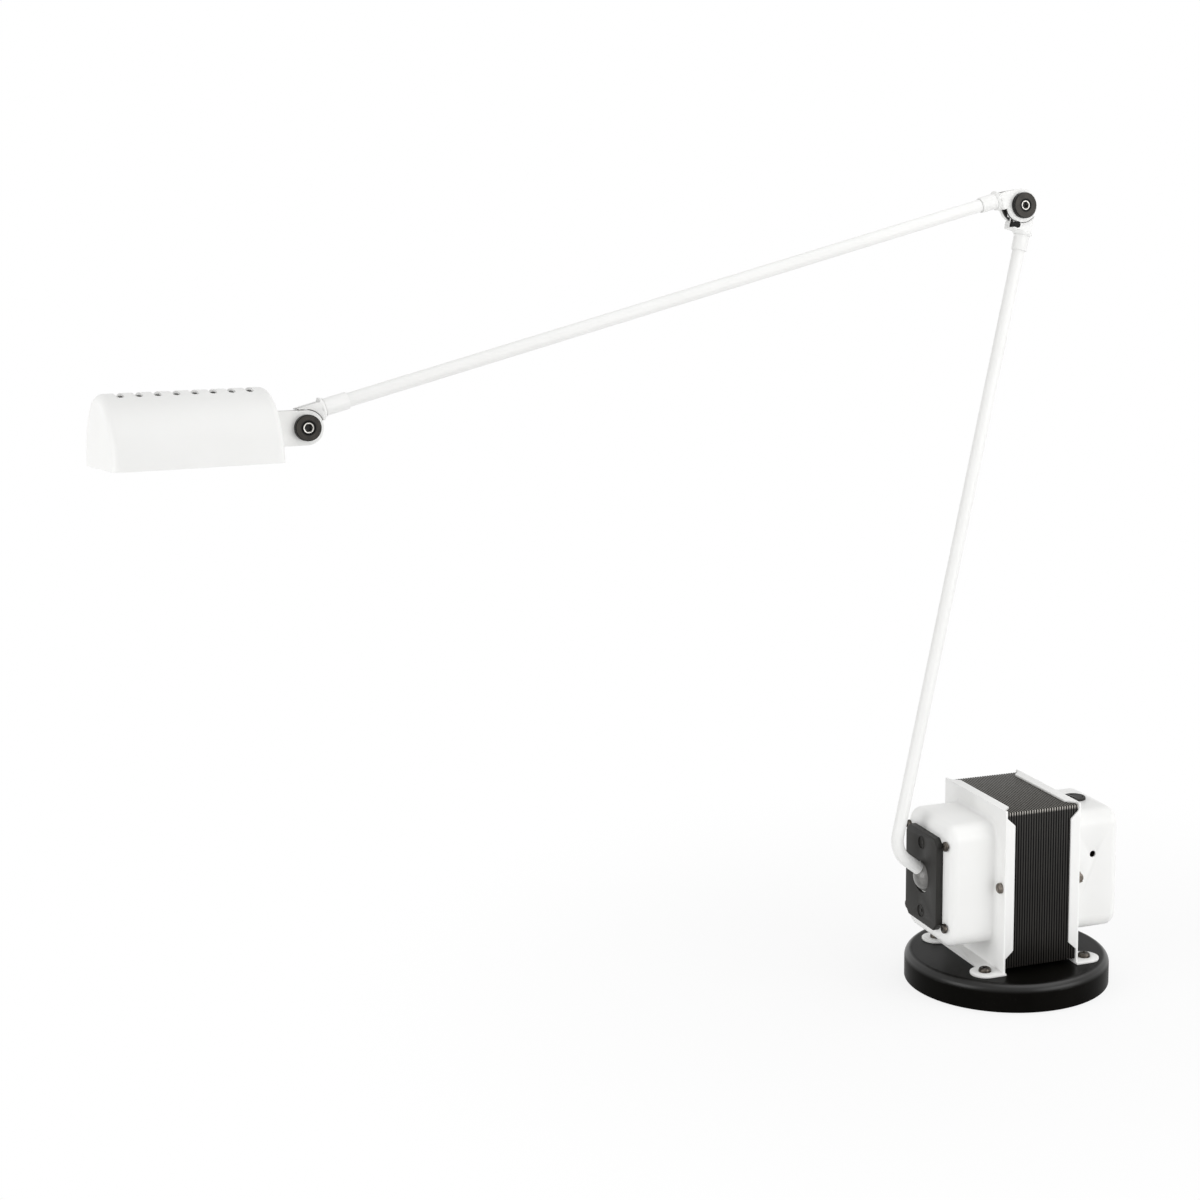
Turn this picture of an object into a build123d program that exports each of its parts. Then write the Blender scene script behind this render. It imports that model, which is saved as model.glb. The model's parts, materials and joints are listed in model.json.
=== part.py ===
from build123d import *
import math
import os

# Two-arm desk lamp whose heavy transformer, on a round foot, is the ballast.
# Millimetres. +Z is up, the origin is the centre of the underside.
# The transformer's stack runs along X, and the arms leave its -X end.

# Round foot
base_radius = 57.5
base_height = 15.8
base_edge_round = 4.5
pad_radius = 51.5
pad_thickness = 1.6
pad_recess = 1.0
pad_gap = 0.1

# Laminated core, standing on its long side
core_offset = 1.85
core_width = 70.0
core_height = 88.0
core_stack = 44.3
core_air_gap = 3.0
leg_width = 14.0
window_width = 42.0
lamination_pitch = 1.55
lamination_groove = 0.55
groove_depth = 0.7

# Winding on its bobbin
bobbin_wall = 1.2
bobbin_gap = 0.3
winding_depth = 12.0
winding_corner = 9.0

# End bells, pressed from sheet
sheet = 1.2
front_bell_depth = 30.2
rear_bell_depth = 32.4
bell_half_width = 26.6
bell_bottom = 30.0
bell_top = 98.7
bell_corner = 9.0
bell_edge_round = 6.0
bell_root_round = 2.3
lip_length = 4.8
top_lip_half = 33.0
side_lip_low = 24.6
side_lip_high = 103.8
lip_chamfer = 4.4
foot_strip = 9.8
foot_reach = 9.0
foot_spread = 29.5
foot_ear_radius = 8.3
bolt_spread = 31.9
bolt_height = 63.9
side_hole_radius = 1.85
side_hole_x = 15.0
side_hole_height = 74.4

# Screws and bolts
foot_screw_radius = 2.0
foot_head_radius = 3.5
foot_head_height = 2.2
foot_screw_grip = 9.0
head_round_share = 0.6
bolt_radius = 1.75
bolt_head_radius = 2.9
bolt_head_height = 2.3
bolt_tail = 1.2
bolt_nut_flats = 5.8
bolt_nut_height = 2.8
plate_screw_radius = 1.5
plate_screw_head_radius = 2.7
plate_screw_head_height = 1.7
plate_screw_grip = 6.0
plate_screw_y = 22.2
plate_screw_z = 23.1
screw_gap = 0.05

# Ball joint in the front bell
ball_radius = 8.75
ball_behind_plate = 5.0
ball_height = 64.7
ball_gap = 0.05
plate_width = 38.0
plate_height = 52.0
plate_thickness = 4.0
plate_chamfer = 4.0
plate_edge_round = 0.6
mouth_radius = 8.9
mouth_lip = 1.8
collar_radius = 13.6
collar_length = 9.0
collar_gap = 0.3
liner_radius = 11.2
liner_back = 1.0
cup_length = 5.5
snap_ring_depth = 0.8
snap_ring_thickness = 1.0
snap_ring_mouth = 6.0
cup_hole_radius = 5.0
recess_radius = 3.3
recess_depth = 0.5
recess_spread = 19.5

# Arm plane at rest, as photographed
plane_yaw = 4.0
plane_lean = 4.5
stub_rise = 37.0
lower_arm_angle = 74.64
upper_arm_angle = 14.04

# Arm tubes and their end fittings
tube_radius = 3.5
tube_wall = 1.0
stub_corner = 26.7
stub_inner_end = 6.0
bend_radius = 14.0
lower_arm_length = 364.3
upper_arm_length = 422.0
hinge_offset = 6.4
ferrule_radius = 4.3
ferrule_end = 24.0
ferrule_root_length = 2.0
ferrule_flare = 1.2
ferrule_flare_land = 0.05
tube_seat = 15.0
tube_gap = 0.05
fitting_width = 10.5
fork_back = 12.5
fork_low = 0.8
fork_high = 10.0
fork_shoulder = 6.5
lower_block_back = 13.6
lower_block_low = -3.1
lower_block_high = 8.9
head_block_back = 10.0
head_block_low = 1.0
head_block_high = 10.0
head_block_overhang = 1.5
tongue_web_high = 8.4
stop_gap = 0.3
lead_slot_width = 1.6
lead_slot_depth = 3.0
lead_slot_wall = 1.0
lead_hole_radius = 1.6
cheek_gap = 5.3
tongue_width = 2.6
washer_width = 1.2
bushing_wall = 1.0
fork_web = 2.2
swing_gap = 0.35
pin_radius = 2.0
running_gap = 0.05

# The two hinges
elbow_cheek_radius = 9.3
elbow_washer_radius = 9.0
elbow_disc_radius = 7.2
head_cheek_radius = 8.5
head_washer_radius = 8.2
head_disc_radius = 6.4
tongue_radius = 6.4
disc_height = 3.0
disc_floor = 0.6
disc_edge_round = 0.5
screw_head_radius = 3.3
screw_head_height = 2.3
screw_socket_flats = 3.7
screw_socket_depth = 2.0
screw_head_chamfer = 0.3
nut_flats = 7.0
nut_height = 2.1
pocket_gap = 0.1
stop_pin_radius = 1.7
stop_pin_reach = 11.15
stop_pin_rise = -0.7

# Shade and lamp
shade_length = 79.3
shade_radius = 34.5
shade_height = 34.9
shade_wall = 1.2
shade_end_round = 3.5
shade_reach = 18.1
shade_drop = 14.4
vent_count = 8
vent_pitch = 8.6
vent_width = 3.5
vent_length = 22.0
reflector_gap = 1.0
reflector_wall = 0.6
end_gap = 0.2
bracket_cheek = 2.4
bracket_web = 2.0
bracket_screw_radius = 1.25
bracket_screw_head_radius = 2.2
bracket_screw_head_height = 1.4
bracket_screw_heights = (-6.0, -0.7)
holder_depth = 12.0
holder_width = 18.0
holder_height = 9.6
holder_round = 1.5
lamp_rise = 7.6
lamp_radius = 5.75
lamp_length = 32.0
pinch_length = 9.0
pinch_width = 9.0
pinch_thickness = 3.4
pinch_overlap = 2.0
lamp_tip_land = 0.4
lamp_shoulder_round = 2.0
pin_spacing = 6.35
lamp_pin_radius = 0.5
lamp_pin_depth = 6.0
pin_hole_gap = 0.05

# Rocker switch on the rear bell
switch_x = 18.0
bezel_radius = 6.4
bezel_height = 1.4
bezel_edge_round = 0.5
barrel_radius = 5.7
barrel_length = 11.0
barrel_gap = 0.15
rocker_well_radius = 4.9
rocker_radius = 4.3
rocker_rise = 2.2
rocker_dish = 0.9
rocker_depth = 1.9
rocker_well_depth = 5.1
rocker_tilt = 7.0
rocker_pivot_drop = 1.6
rocker_pin_radius = 1.0
rocker_pin_bite = 0.9

# Cord inlet in the rear bell
inlet_height = 43.0
inlet_bore_radius = 3.25
inlet_barrel_radius = 4.8
inlet_flange_radius = 6.8
inlet_flange = 1.8
inlet_length = 9.0

# Derived places
core_low = base_height + core_air_gap
core_high = core_low + core_height
core_middle = core_low + core_height / 2
stack_half = core_stack / 2
flange_half = core_width / 2 + sheet
bell_middle = (bell_bottom + bell_top) / 2
bell_inner_half = bell_half_width - sheet
front_face_x = core_offset - stack_half - front_bell_depth
rear_face_x = core_offset + stack_half + rear_bell_depth
plate_face_x = front_face_x - plate_thickness
ball_x = plate_face_x + ball_behind_plate
ball_centre = (ball_x, 0, ball_height)
fitting_half = fitting_width / 2


# ---------------------------------------------------------------- the foot

def make_base_pad():
    return Pos(0, 0, pad_thickness / 2) * Cylinder(pad_radius, pad_thickness)


def make_base_disc():
    underside = pad_thickness - pad_recess
    disc = Pos(0, 0, underside) * extrude(Circle(base_radius), base_height - underside)
    disc = fillet(disc.edges().group_by(Axis.Z)[-1], base_edge_round)
    recess = Pos(0, 0, underside) * extrude(Circle(pad_radius + pad_gap), pad_recess)
    holes = [
        Pos(x, y, base_height - foot_screw_grip) * extrude(Circle(foot_screw_radius + screw_gap), foot_screw_grip)
        for x, y in foot_screw_places()
    ]
    return disc - recess - holes


def foot_screw_places():
    reach = stack_half + foot_reach
    return [(core_offset + i * reach, j * foot_spread) for i in (-1, 1) for j in (-1, 1)]


def make_foot_screws():
    screws = []
    for x, y in foot_screw_places():
        shank_low = base_height - foot_screw_grip + screw_gap
        head_low = base_height + sheet
        shank = Pos(x, y, shank_low) * extrude(Circle(foot_screw_radius), head_low - shank_low)
        head = Pos(x, y, head_low) * extrude(Circle(foot_head_radius), foot_head_height)
        head = fillet(head.edges().group_by(Axis.Z)[-1], foot_head_height * head_round_share)
        screws.append(shank + head)
    return Compound(children=screws)


# --------------------------------------------------------- the transformer

def window_centres():
    centre_leg = core_height - 4 * leg_width
    rise = centre_leg / 2 + leg_width / 2
    return (core_middle - rise, core_middle + rise)


def make_core():
    outline = Plane.YZ * Pos(0, core_middle) * Rectangle(core_width, core_height)
    inner = Plane.YZ * Pos(0, core_middle) * Rectangle(
        core_width - 2 * groove_depth, core_height - 2 * groove_depth)
    stack = Pos(core_offset - stack_half, 0, 0) * extrude(outline, core_stack)
    count = int(core_stack / lamination_pitch)
    first = core_offset - (count - 1) * lamination_pitch / 2 - lamination_groove / 2
    ring = extrude(outline - inner, lamination_groove)
    stack -= [Pos(first + i * lamination_pitch, 0, 0) * ring for i in range(count)]
    for z in window_centres():
        window = Plane.YZ * Pos(0, z) * Rectangle(window_width, leg_width)
        stack -= Pos(core_offset - stack_half, 0, 0) * extrude(window, core_stack)
    return stack - bolt_bores(core_offset - stack_half, core_stack)


def bolt_bores(x, length):
    bore = Plane.YZ * Circle(bolt_radius + screw_gap)
    return [Pos(x, y, bolt_height) * extrude(bore, length) for y in (-bolt_spread, bolt_spread)]


def bobbin_sizes():
    leg = core_height - 4 * leg_width
    hole_x = core_stack + 2 * bobbin_gap
    hole_z = leg + 2 * bobbin_gap
    return hole_x, hole_z


def make_bobbin():
    hole_x, hole_z = bobbin_sizes()
    length = window_width - 2 * bobbin_gap
    tube_x = hole_x + 2 * bobbin_wall
    tube_z = hole_z + 2 * bobbin_wall
    cheek_x = tube_x + 2 * winding_depth
    cheek_z = hole_z + 2 * (leg_width - 2 * bobbin_gap)
    around = Plane.XZ * Rectangle(tube_x, tube_z)
    cheek = Plane.XZ * RectangleRounded(cheek_x, cheek_z, winding_corner / 2)
    hole = Plane.XZ * Rectangle(hole_x, hole_z)
    body = extrude(around, length / 2, both=True)
    end = extrude(cheek, bobbin_wall)
    body += [Pos(0, length / 2, 0) * end, Pos(0, -length / 2 + bobbin_wall, 0) * end]
    body -= extrude(hole, length, both=True)
    return Pos(core_offset, 0, core_middle) * body


def make_winding():
    hole_x, hole_z = bobbin_sizes()
    length = window_width - 2 * bobbin_gap - 2 * bobbin_wall
    inner_x = hole_x + 2 * bobbin_wall
    inner_z = hole_z + 2 * bobbin_wall
    outer_x = inner_x + 2 * (winding_depth - bobbin_wall)
    outer_z = inner_z + 2 * (leg_width - bobbin_gap * 2 - bobbin_wall * 2)
    ring = RectangleRounded(outer_x, outer_z, winding_corner) - Rectangle(inner_x, inner_z)
    body = extrude(Plane.XZ * ring, length / 2, both=True)
    return Pos(core_offset, 0, core_middle) * body


def end_bell(depth):
    # Pressed cover seen from the core: x = 0 is the core's face and +X points outward.
    flange_low = base_height
    flange_top = core_high + sheet
    flange = Pos(0, 0, flange_low) * extrude(
        Plane.YZ * Pos(0, (flange_top - flange_low) / 2) * Rectangle(2 * flange_half, flange_top - flange_low), sheet)
    outer_face = Plane.YZ * Pos(0, bell_middle) * RectangleRounded(
        2 * bell_half_width, bell_top - bell_bottom, bell_corner)
    inner_face = Plane.YZ * Pos(0, bell_middle) * RectangleRounded(
        2 * bell_inner_half, bell_top - bell_bottom - 2 * sheet, bell_corner - sheet)
    dish = extrude(outer_face, depth)
    dish = fillet(dish.edges().group_by(Axis.X)[-1], bell_edge_round)
    hollow = extrude(inner_face, depth - sheet)
    hollow = fillet(hollow.edges().group_by(Axis.X)[-1], bell_edge_round - sheet)
    shell = flange + dish
    root = shell.edges().filter_by(lambda e: abs(e.center().X - sheet) < 0.01 and on_dish(e))
    shell = fillet(root, bell_root_round)
    shell -= hollow
    shell += make_lips() + make_feet()
    return shell - [Pos(0, y, bolt_height) * extrude(Plane.YZ * Circle(bolt_radius + screw_gap), 2 * sheet)
                    for y in (-bolt_spread, bolt_spread)]


def on_dish(edge):
    centre = edge.center()
    inside_y = abs(centre.Y) < bell_half_width + 0.1
    inside_z = bell_bottom - 0.1 < centre.Z < bell_top + 0.1
    return inside_y and inside_z


def make_lips():
    # Edges folded back over the core, with clipped ends.
    top = Polygon(
        (0, -top_lip_half), (0, top_lip_half),
        (-lip_length, top_lip_half - lip_length), (-lip_length, lip_length - top_lip_half), align=None)
    lips = Pos(0, 0, core_high) * extrude(top, sheet)
    side = Polygon(
        (0, side_lip_low), (0, side_lip_high),
        (-lip_length, side_lip_high - lip_chamfer), (-lip_length, side_lip_low + lip_chamfer), align=None)
    near = Pos(0, -core_width / 2, 0) * extrude(Plane.XZ * side, sheet)
    far = Pos(0, core_width / 2 + sheet, 0) * extrude(Plane.XZ * side, sheet)
    return lips + near + far


def make_feet():
    # Narrow strip bent outward at the bottom, with an ear at each end.
    strip = Pos(foot_strip / 2, 0) * Rectangle(foot_strip, 2 * flange_half)
    for y in (-foot_spread, foot_spread):
        strip += Pos(foot_reach / 2, y) * Rectangle(foot_reach, 2 * foot_ear_radius)
        strip += Pos(foot_reach, y) * Circle(foot_ear_radius)
    for y in (-foot_spread, foot_spread):
        strip -= Pos(foot_reach, y) * Circle(foot_screw_radius + screw_gap)
    return Pos(0, 0, base_height) * extrude(strip, sheet)


def make_front_bell():
    bell = mirror(end_bell(front_bell_depth), about=Plane.YZ)
    bell = Pos(core_offset - stack_half, 0, 0) * bell
    hole = Plane.YZ * Circle(collar_radius + collar_gap)
    bell -= Pos(front_face_x, 0, ball_height) * extrude(hole, 2 * sheet)
    small = Plane.YZ * Circle(plate_screw_radius + screw_gap)
    return bell - [Pos(front_face_x, y, z) * extrude(small, 2 * sheet) for y, z in plate_screw_places()]


def make_rear_bell():
    bell = Pos(core_offset + stack_half, 0, 0) * end_bell(rear_bell_depth)
    switch_hole = Pos(switch_centre_x(), 0, bell_top - 2 * sheet) * extrude(
        Circle(barrel_radius + barrel_gap), 3 * sheet)
    side_hole = Pos(core_offset + stack_half + side_hole_x, -bell_half_width - sheet, side_hole_height) * extrude(
        Plane.XZ * Circle(side_hole_radius), -3 * sheet)
    inlet_hole = Pos(rear_face_x - 2 * sheet, 0, inlet_height) * extrude(
        Plane.YZ * Circle(inlet_barrel_radius + collar_gap), 3 * sheet)
    return bell - switch_hole - side_hole - inlet_hole


def make_through_bolts():
    bolts = []
    face = core_offset - stack_half - sheet
    length = core_stack + 2 * sheet + bolt_nut_height + bolt_tail
    for y in (-bolt_spread, bolt_spread):
        shank = Pos(face, y, bolt_height) * extrude(Plane.YZ * Circle(bolt_radius), length)
        head = Pos(face - bolt_head_height, y, bolt_height) * extrude(
            Plane.YZ * Circle(bolt_head_radius), bolt_head_height)
        head = fillet(head.edges().group_by(Axis.X)[0], bolt_head_height * head_round_share)
        bolts.append(shank + head)
    return Compound(children=bolts)


def make_through_nuts():
    face = core_offset + stack_half + sheet
    hexagon = RegularPolygon(bolt_nut_flats / 2, 6, major_radius=False, rotation=30)
    nut = Plane.YZ * (hexagon - Circle(bolt_radius + screw_gap))
    return Compound(children=[
        Pos(face, y, bolt_height) * extrude(nut, bolt_nut_height) for y in (-bolt_spread, bolt_spread)])


# ---------------------------------------------------------- the ball joint

def plate_screw_places():
    return [(y, ball_height + z) for y in (-plate_screw_y, plate_screw_y) for z in (-plate_screw_z, plate_screw_z)]


def make_socket_plate():
    outline = chamfer(Rectangle(plate_width, plate_height).vertices(), plate_chamfer)
    plate = extrude(Plane.YZ * outline, plate_thickness)
    plate = fillet(plate.edges().group_by(Axis.X)[0], plate_edge_round)
    collar = Pos(plate_thickness, 0, 0) * extrude(Plane.YZ * Circle(collar_radius), collar_length)
    plate += collar
    plate -= extrude(Plane.YZ * Circle(mouth_radius), plate_thickness)
    seat = Plane.YZ * Circle(liner_radius + running_gap)
    plate -= Pos(mouth_lip, 0, 0) * extrude(seat, plate_thickness + collar_length)
    groove = Plane.YZ * Circle(liner_radius + snap_ring_depth + screw_gap)
    plate -= Pos(snap_ring_x() - plate_face_x, 0, 0) * extrude(groove, snap_ring_thickness + screw_gap)
    mark = Plane.YZ * Circle(recess_radius)
    plate -= [Pos(0, 0, z) * extrude(mark, recess_depth) for z in (-recess_spread, recess_spread)]
    return Pos(plate_face_x, 0, ball_height) * plate


def make_plate_screws():
    screws = []
    for y, z in plate_screw_places():
        shank = Pos(front_face_x, y, z) * extrude(Plane.YZ * Circle(plate_screw_radius), plate_screw_grip)
        head = Pos(front_face_x - plate_screw_head_height, y, z) * extrude(
            Plane.YZ * Circle(plate_screw_head_radius), plate_screw_head_height)
        head = fillet(head.edges().group_by(Axis.X)[0], plate_screw_head_height * head_round_share)
        screws.append(shank + head)
    return Compound(children=screws)


def ball_void():
    return Pos(*ball_centre) * Rot(0, 90, 0) * Sphere(ball_radius + ball_gap)


def make_liner_ring():
    front = plate_face_x + mouth_lip + running_gap
    back = ball_x + liner_back
    ring = Pos(front, 0, ball_height) * extrude(Plane.YZ * Circle(liner_radius), back - front)
    return ring - ball_void()


def make_pressure_cup():
    front = ball_x + liner_back + running_gap
    cup = Pos(front, 0, ball_height) * extrude(Plane.YZ * Circle(liner_radius), cup_length)
    lead_hole = Pos(front, 0, ball_height) * extrude(Plane.YZ * Circle(cup_hole_radius), cup_length)
    return cup - ball_void() - lead_hole


def snap_ring_x():
    return ball_x + liner_back + running_gap + cup_length


def make_snap_ring():
    # Open ring behind the cup, sprung into a groove of the collar.
    ring = Circle(liner_radius + snap_ring_depth) - Circle(liner_radius - snap_ring_depth)
    ring -= Pos(0, -liner_radius) * Rectangle(snap_ring_mouth, 2 * liner_radius)
    return Pos(snap_ring_x(), 0, ball_height) * extrude(Plane.YZ * ring, snap_ring_thickness)


# ------------------------------------------------- places in the arm plane

def arm_frame():
    # Arm plane: x runs back along the lamp, z up, and the ball's centre is its origin.
    return Pos(*ball_centre) * Rot(0, 0, plane_yaw) * Rot(-plane_lean, 0, 0)


def direction(angle):
    return math.cos(math.radians(angle)), math.sin(math.radians(angle))


def bend_corner():
    x, z = direction(180 - stub_rise)
    return stub_corner * x, stub_corner * z


def elbow_point():
    x, z = direction(lower_arm_angle)
    corner = bend_corner()
    return (corner[0] + lower_arm_length * x - hinge_offset * z,
            corner[1] + lower_arm_length * z + hinge_offset * x)


def head_point():
    x, z = direction(upper_arm_angle)
    elbow = elbow_point()
    return elbow[0] - upper_arm_length * x, elbow[1] - upper_arm_length * z


def at(point, angle):
    # Frame with its x axis at this angle in the arm plane.
    return arm_frame() * Pos(point[0], 0, point[1]) * Rot(0, -angle, 0)


def lower_frame():
    return at(elbow_point(), lower_arm_angle + 180)


def upper_frame():
    return at(head_point(), upper_arm_angle)


def head_frame():
    return at(head_point(), 0)


def fork_end():
    # The fork's frame: its hinge is the origin and its tube leaves along +X.
    return upper_frame() * Pos(upper_arm_length, 0, 0) * Rot(0, 0, 180)


# ------------------------------------------------------------ the ball

def make_ball():
    sphere = Sphere(ball_radius)
    bore = extrude(Plane.YZ * Circle(tube_radius + tube_gap), 2 * ball_radius, both=True)
    return at((0, 0), 180 - stub_rise) * (sphere - bore)


# ------------------------------------------------------------ the arms

def tube_section():
    return Circle(tube_radius) - Circle(tube_radius - tube_wall)


def make_lower_tube():
    x, z = direction(180 - stub_rise)
    start = (-stub_inner_end * x, 0, -stub_inner_end * z)
    corner = bend_corner()
    up = direction(lower_arm_angle)
    run = lower_arm_length - tube_seat
    top = (corner[0] + run * up[0], 0, corner[1] + run * up[1])
    path = FilletPolyline(start, (corner[0], 0, corner[1]), top, radius=bend_radius)
    profile = Plane(origin=path @ 0, z_dir=path % 0) * tube_section()
    return arm_frame() * sweep(profile, path=path)


def make_upper_tube():
    length = upper_arm_length - 2 * tube_seat
    tube = extrude(Plane.YZ * tube_section(), length)
    return upper_frame() * Pos(tube_seat, 0, hinge_offset) * tube


def ferrule(back):
    # Turned sleeve on the end of a tube, flared where it meets its block.
    sleeve = Pos(back, 0, 0) * extrude(Plane.YZ * Circle(ferrule_radius), ferrule_end - back)
    flare = Pos(back, 0, 0) * extrude(Plane.YZ * Circle(ferrule_radius + ferrule_flare), ferrule_root_length)
    flare = chamfer(flare.edges().group_by(Axis.X)[-1], ferrule_flare - ferrule_flare_land)
    return Pos(0, 0, hinge_offset) * (sleeve + flare)


def tube_socket():
    seat = Pos(tube_seat - tube_gap, 0, hinge_offset) * extrude(
        Plane.YZ * Circle(tube_radius + tube_gap), ferrule_end)
    lead = Pos(0, 0, hinge_offset) * extrude(Plane.YZ * Circle(lead_hole_radius), tube_seat)
    return seat + lead


def plate_in_plane(sketch, width, middle=0.0):
    # Flat plate of this outline in the arm plane, centred on y = middle.
    return Pos(0, middle, 0) * extrude(Plane.XZ * sketch, width / 2, both=True)


def hinge_bore():
    return plate_in_plane(Circle(pin_radius + running_gap), 2 * fitting_width)


def fork_fitting(cheek_radius):
    block = Polygon(
        (0, fork_low), (fork_back, fork_low), (fork_back, fork_high),
        (fork_shoulder, fork_high), (0, cheek_radius), align=None)
    outline = Circle(cheek_radius) + block
    body = plate_in_plane(outline, fitting_width)
    slot_end = fork_back - fork_web
    slot = Pos(slot_end / 2 - cheek_radius, 0) * Rectangle(slot_end + 2 * cheek_radius, 4 * cheek_radius)
    body -= plate_in_plane(slot, cheek_gap)
    return body + ferrule(fork_back) - tube_socket() - hinge_bore()


def block_outline(front, back, low, high, cheek_radius):
    middle = Pos((front + back) / 2, (low + high) / 2)
    return middle * Rectangle(back - front, high - low) - Circle(cheek_radius + swing_gap)


def tongue_fitting(block, back, low):
    body = plate_in_plane(block, fitting_width)
    tongue = Circle(tongue_radius) + Polygon(
        (0, -tongue_radius), (back, low), (back, tongue_web_high), (0, tongue_radius), align=None)
    body += plate_in_plane(tongue, tongue_width)
    return body + ferrule(back) - tube_socket() - bushing_bore()


def make_lower_tongue():
    # The block has an open notch that holds the stop pin.
    block = block_outline(0, lower_block_back, lower_block_low, lower_block_high, elbow_cheek_radius)
    body = tongue_fitting(block, lower_block_back, lower_block_low)
    return lower_frame() * (body - stop_pin_solid(stop_pin_radius + screw_gap))


def make_head_tongue():
    # The block's end lies over the bracket's upper edge, which stops the shade just above level.
    front = -head_block_overhang
    span = 2 * head_block_back
    below = Pos(-span / 2, head_cheek_radius + stop_gap - span / 2) * Rectangle(span, span)
    over = block_outline(front, 0, tongue_radius, head_block_high, head_cheek_radius)
    block = block_outline(0, head_block_back, head_block_low, head_block_high, head_cheek_radius) + over
    body = tongue_fitting(block - Rot(0, 0, -upper_arm_angle) * below, head_block_back, head_block_low)
    length = head_block_back + head_block_overhang - lead_slot_wall
    slot = Pos(front + length / 2, head_block_high - lead_slot_depth / 2) * Rectangle(length, lead_slot_depth)
    return upper_frame() * (body - plate_in_plane(slot, lead_slot_width))


def bushing_bore():
    return plate_in_plane(Circle(pin_radius + bushing_wall + screw_gap), 2 * fitting_width)


def stop_pin_solid(radius):
    pin = Pos(stop_pin_reach, stop_pin_rise) * Circle(radius)
    return plate_in_plane(pin, fitting_width)


def bushings(washer_radius):
    # A flanged insulating bushing on each face of the tongue.
    flange = Circle(washer_radius) - Circle(pin_radius + running_gap)
    sleeve = Circle(pin_radius + bushing_wall) - Circle(pin_radius + running_gap)
    pair = []
    for side in (-1, 1):
        outer = plate_in_plane(flange, washer_width, side * (tongue_width + washer_width) / 2)
        inner = plate_in_plane(sleeve, tongue_width / 2, side * tongue_width / 4)
        pair.append(outer + inner)
    return Compound(children=pair)


def disc_pair(radius):
    # A black insulating disc outside each cheek, with a pocket for the screw or the nut.
    discs = []
    for side, pocket in ((-1, Circle(screw_head_radius + pocket_gap)),
                         (1, RegularPolygon(nut_flats / 2 + pocket_gap, 6, major_radius=False))):
        disc = extrude(Plane.XY * Circle(radius), disc_height)
        disc = fillet(disc.edges().group_by(Axis.Z)[-1], disc_edge_round)
        disc -= Pos(0, 0, disc_floor) * extrude(pocket, disc_height)
        disc -= extrude(Circle(pin_radius + running_gap), disc_height)
        turned = Rot(90, 0, 0) if side < 0 else Rot(-90, 0, 0)
        discs.append(Pos(0, side * fitting_half, 0) * turned * disc)
    return Compound(children=discs)


def socket_screw():
    grip = fitting_half + disc_floor
    shank = Plane.XZ * Circle(pin_radius)
    screw = Pos(0, -grip, 0) * extrude(shank, -(2 * grip + nut_height))
    head = Pos(0, -grip, 0) * extrude(Plane.XZ * Circle(screw_head_radius), screw_head_height)
    head = chamfer(head.edges().group_by(Axis.Y)[0], screw_head_chamfer)
    socket = Plane.XZ * RegularPolygon(screw_socket_flats / 2, 6, major_radius=False)
    socket = Pos(0, -grip - screw_head_height + screw_socket_depth, 0) * extrude(socket, screw_socket_depth)
    return screw + head - socket


def hinge_nut():
    ring = RegularPolygon(nut_flats / 2, 6, major_radius=False) - Circle(pin_radius + screw_gap)
    grip = fitting_half + disc_floor
    return Pos(0, grip, 0) * extrude(Plane.XZ * ring, -nut_height)


# ------------------------------------------------------------ the head

def make_bracket():
    # U-shaped fork on the shade's end wall.
    reach = shade_reach
    outline = Circle(head_cheek_radius) + Pos(-reach / 2, 0) * Rectangle(reach, 2 * head_cheek_radius)
    width = cheek_gap + 2 * bracket_cheek
    body = plate_in_plane(outline, width)
    slot = Pos(bracket_web / 2, 0) * Rectangle(2 * reach - bracket_web, 4 * head_cheek_radius)
    body -= plate_in_plane(slot, cheek_gap)
    body -= hinge_bore()
    hole = Plane.YZ * Circle(bracket_screw_radius + screw_gap)
    body -= [Pos(-reach, 0, z) * extrude(hole, bracket_web) for z in bracket_screw_heights]
    return head_frame() * body


def make_bracket_screws():
    wall_inside = -shade_reach - shade_wall
    screws = []
    for z in bracket_screw_heights:
        shank = Pos(wall_inside, 0, z) * extrude(Plane.YZ * Circle(bracket_screw_radius), shade_wall + bracket_web)
        head = Pos(wall_inside - bracket_screw_head_height, 0, z) * extrude(
            Plane.YZ * Circle(bracket_screw_head_radius), bracket_screw_head_height)
        screws.append(shank + head)
    return head_frame() * Compound(children=screws)


def arch(radius, straight):
    # Half round on short straight sides, its rim at z = 0.
    return Pos(0, straight) * (Circle(radius) - Pos(0, -radius) * Rectangle(2 * radius, 2 * radius)) + Pos(
        0, straight / 2) * Rectangle(2 * radius, straight)


def shade_inner_radius():
    return shade_radius - shade_wall


def make_shade():
    straight = shade_height - shade_radius
    outer = extrude(Plane.YZ * arch(shade_radius, straight), shade_length)
    ends = [e for e in outer.edges() if abs(e.center().Z) > 1 and not near_length(e, shade_length)]
    outer = fillet(ends, shade_end_round)
    inner = extrude(Plane.YZ * arch(shade_inner_radius(), straight), shade_length - 2 * shade_wall)
    inner = Pos(shade_wall, 0, 0) * inner
    body = outer - inner
    slot = Pos(0, 0, shade_height / 2) * extrude(SlotOverall(vent_length, vent_width, rotation=90), shade_height)
    first = shade_length / 2 - (vent_count - 1) * vent_pitch / 2
    body -= [Pos(first + i * vent_pitch, 0, 0) * slot for i in range(vent_count)]
    hole = Plane.YZ * Circle(bracket_screw_radius + screw_gap)
    body -= [Pos(shade_length - 2 * shade_wall, 0, shade_drop + z) * extrude(hole, 3 * shade_wall)
             for z in bracket_screw_heights]
    return shade_place() * body


def near_length(edge, length):
    return abs(edge.length - length) < 0.5


def shade_place():
    return head_frame() * Pos(-shade_reach - shade_length, 0, -shade_drop)


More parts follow.
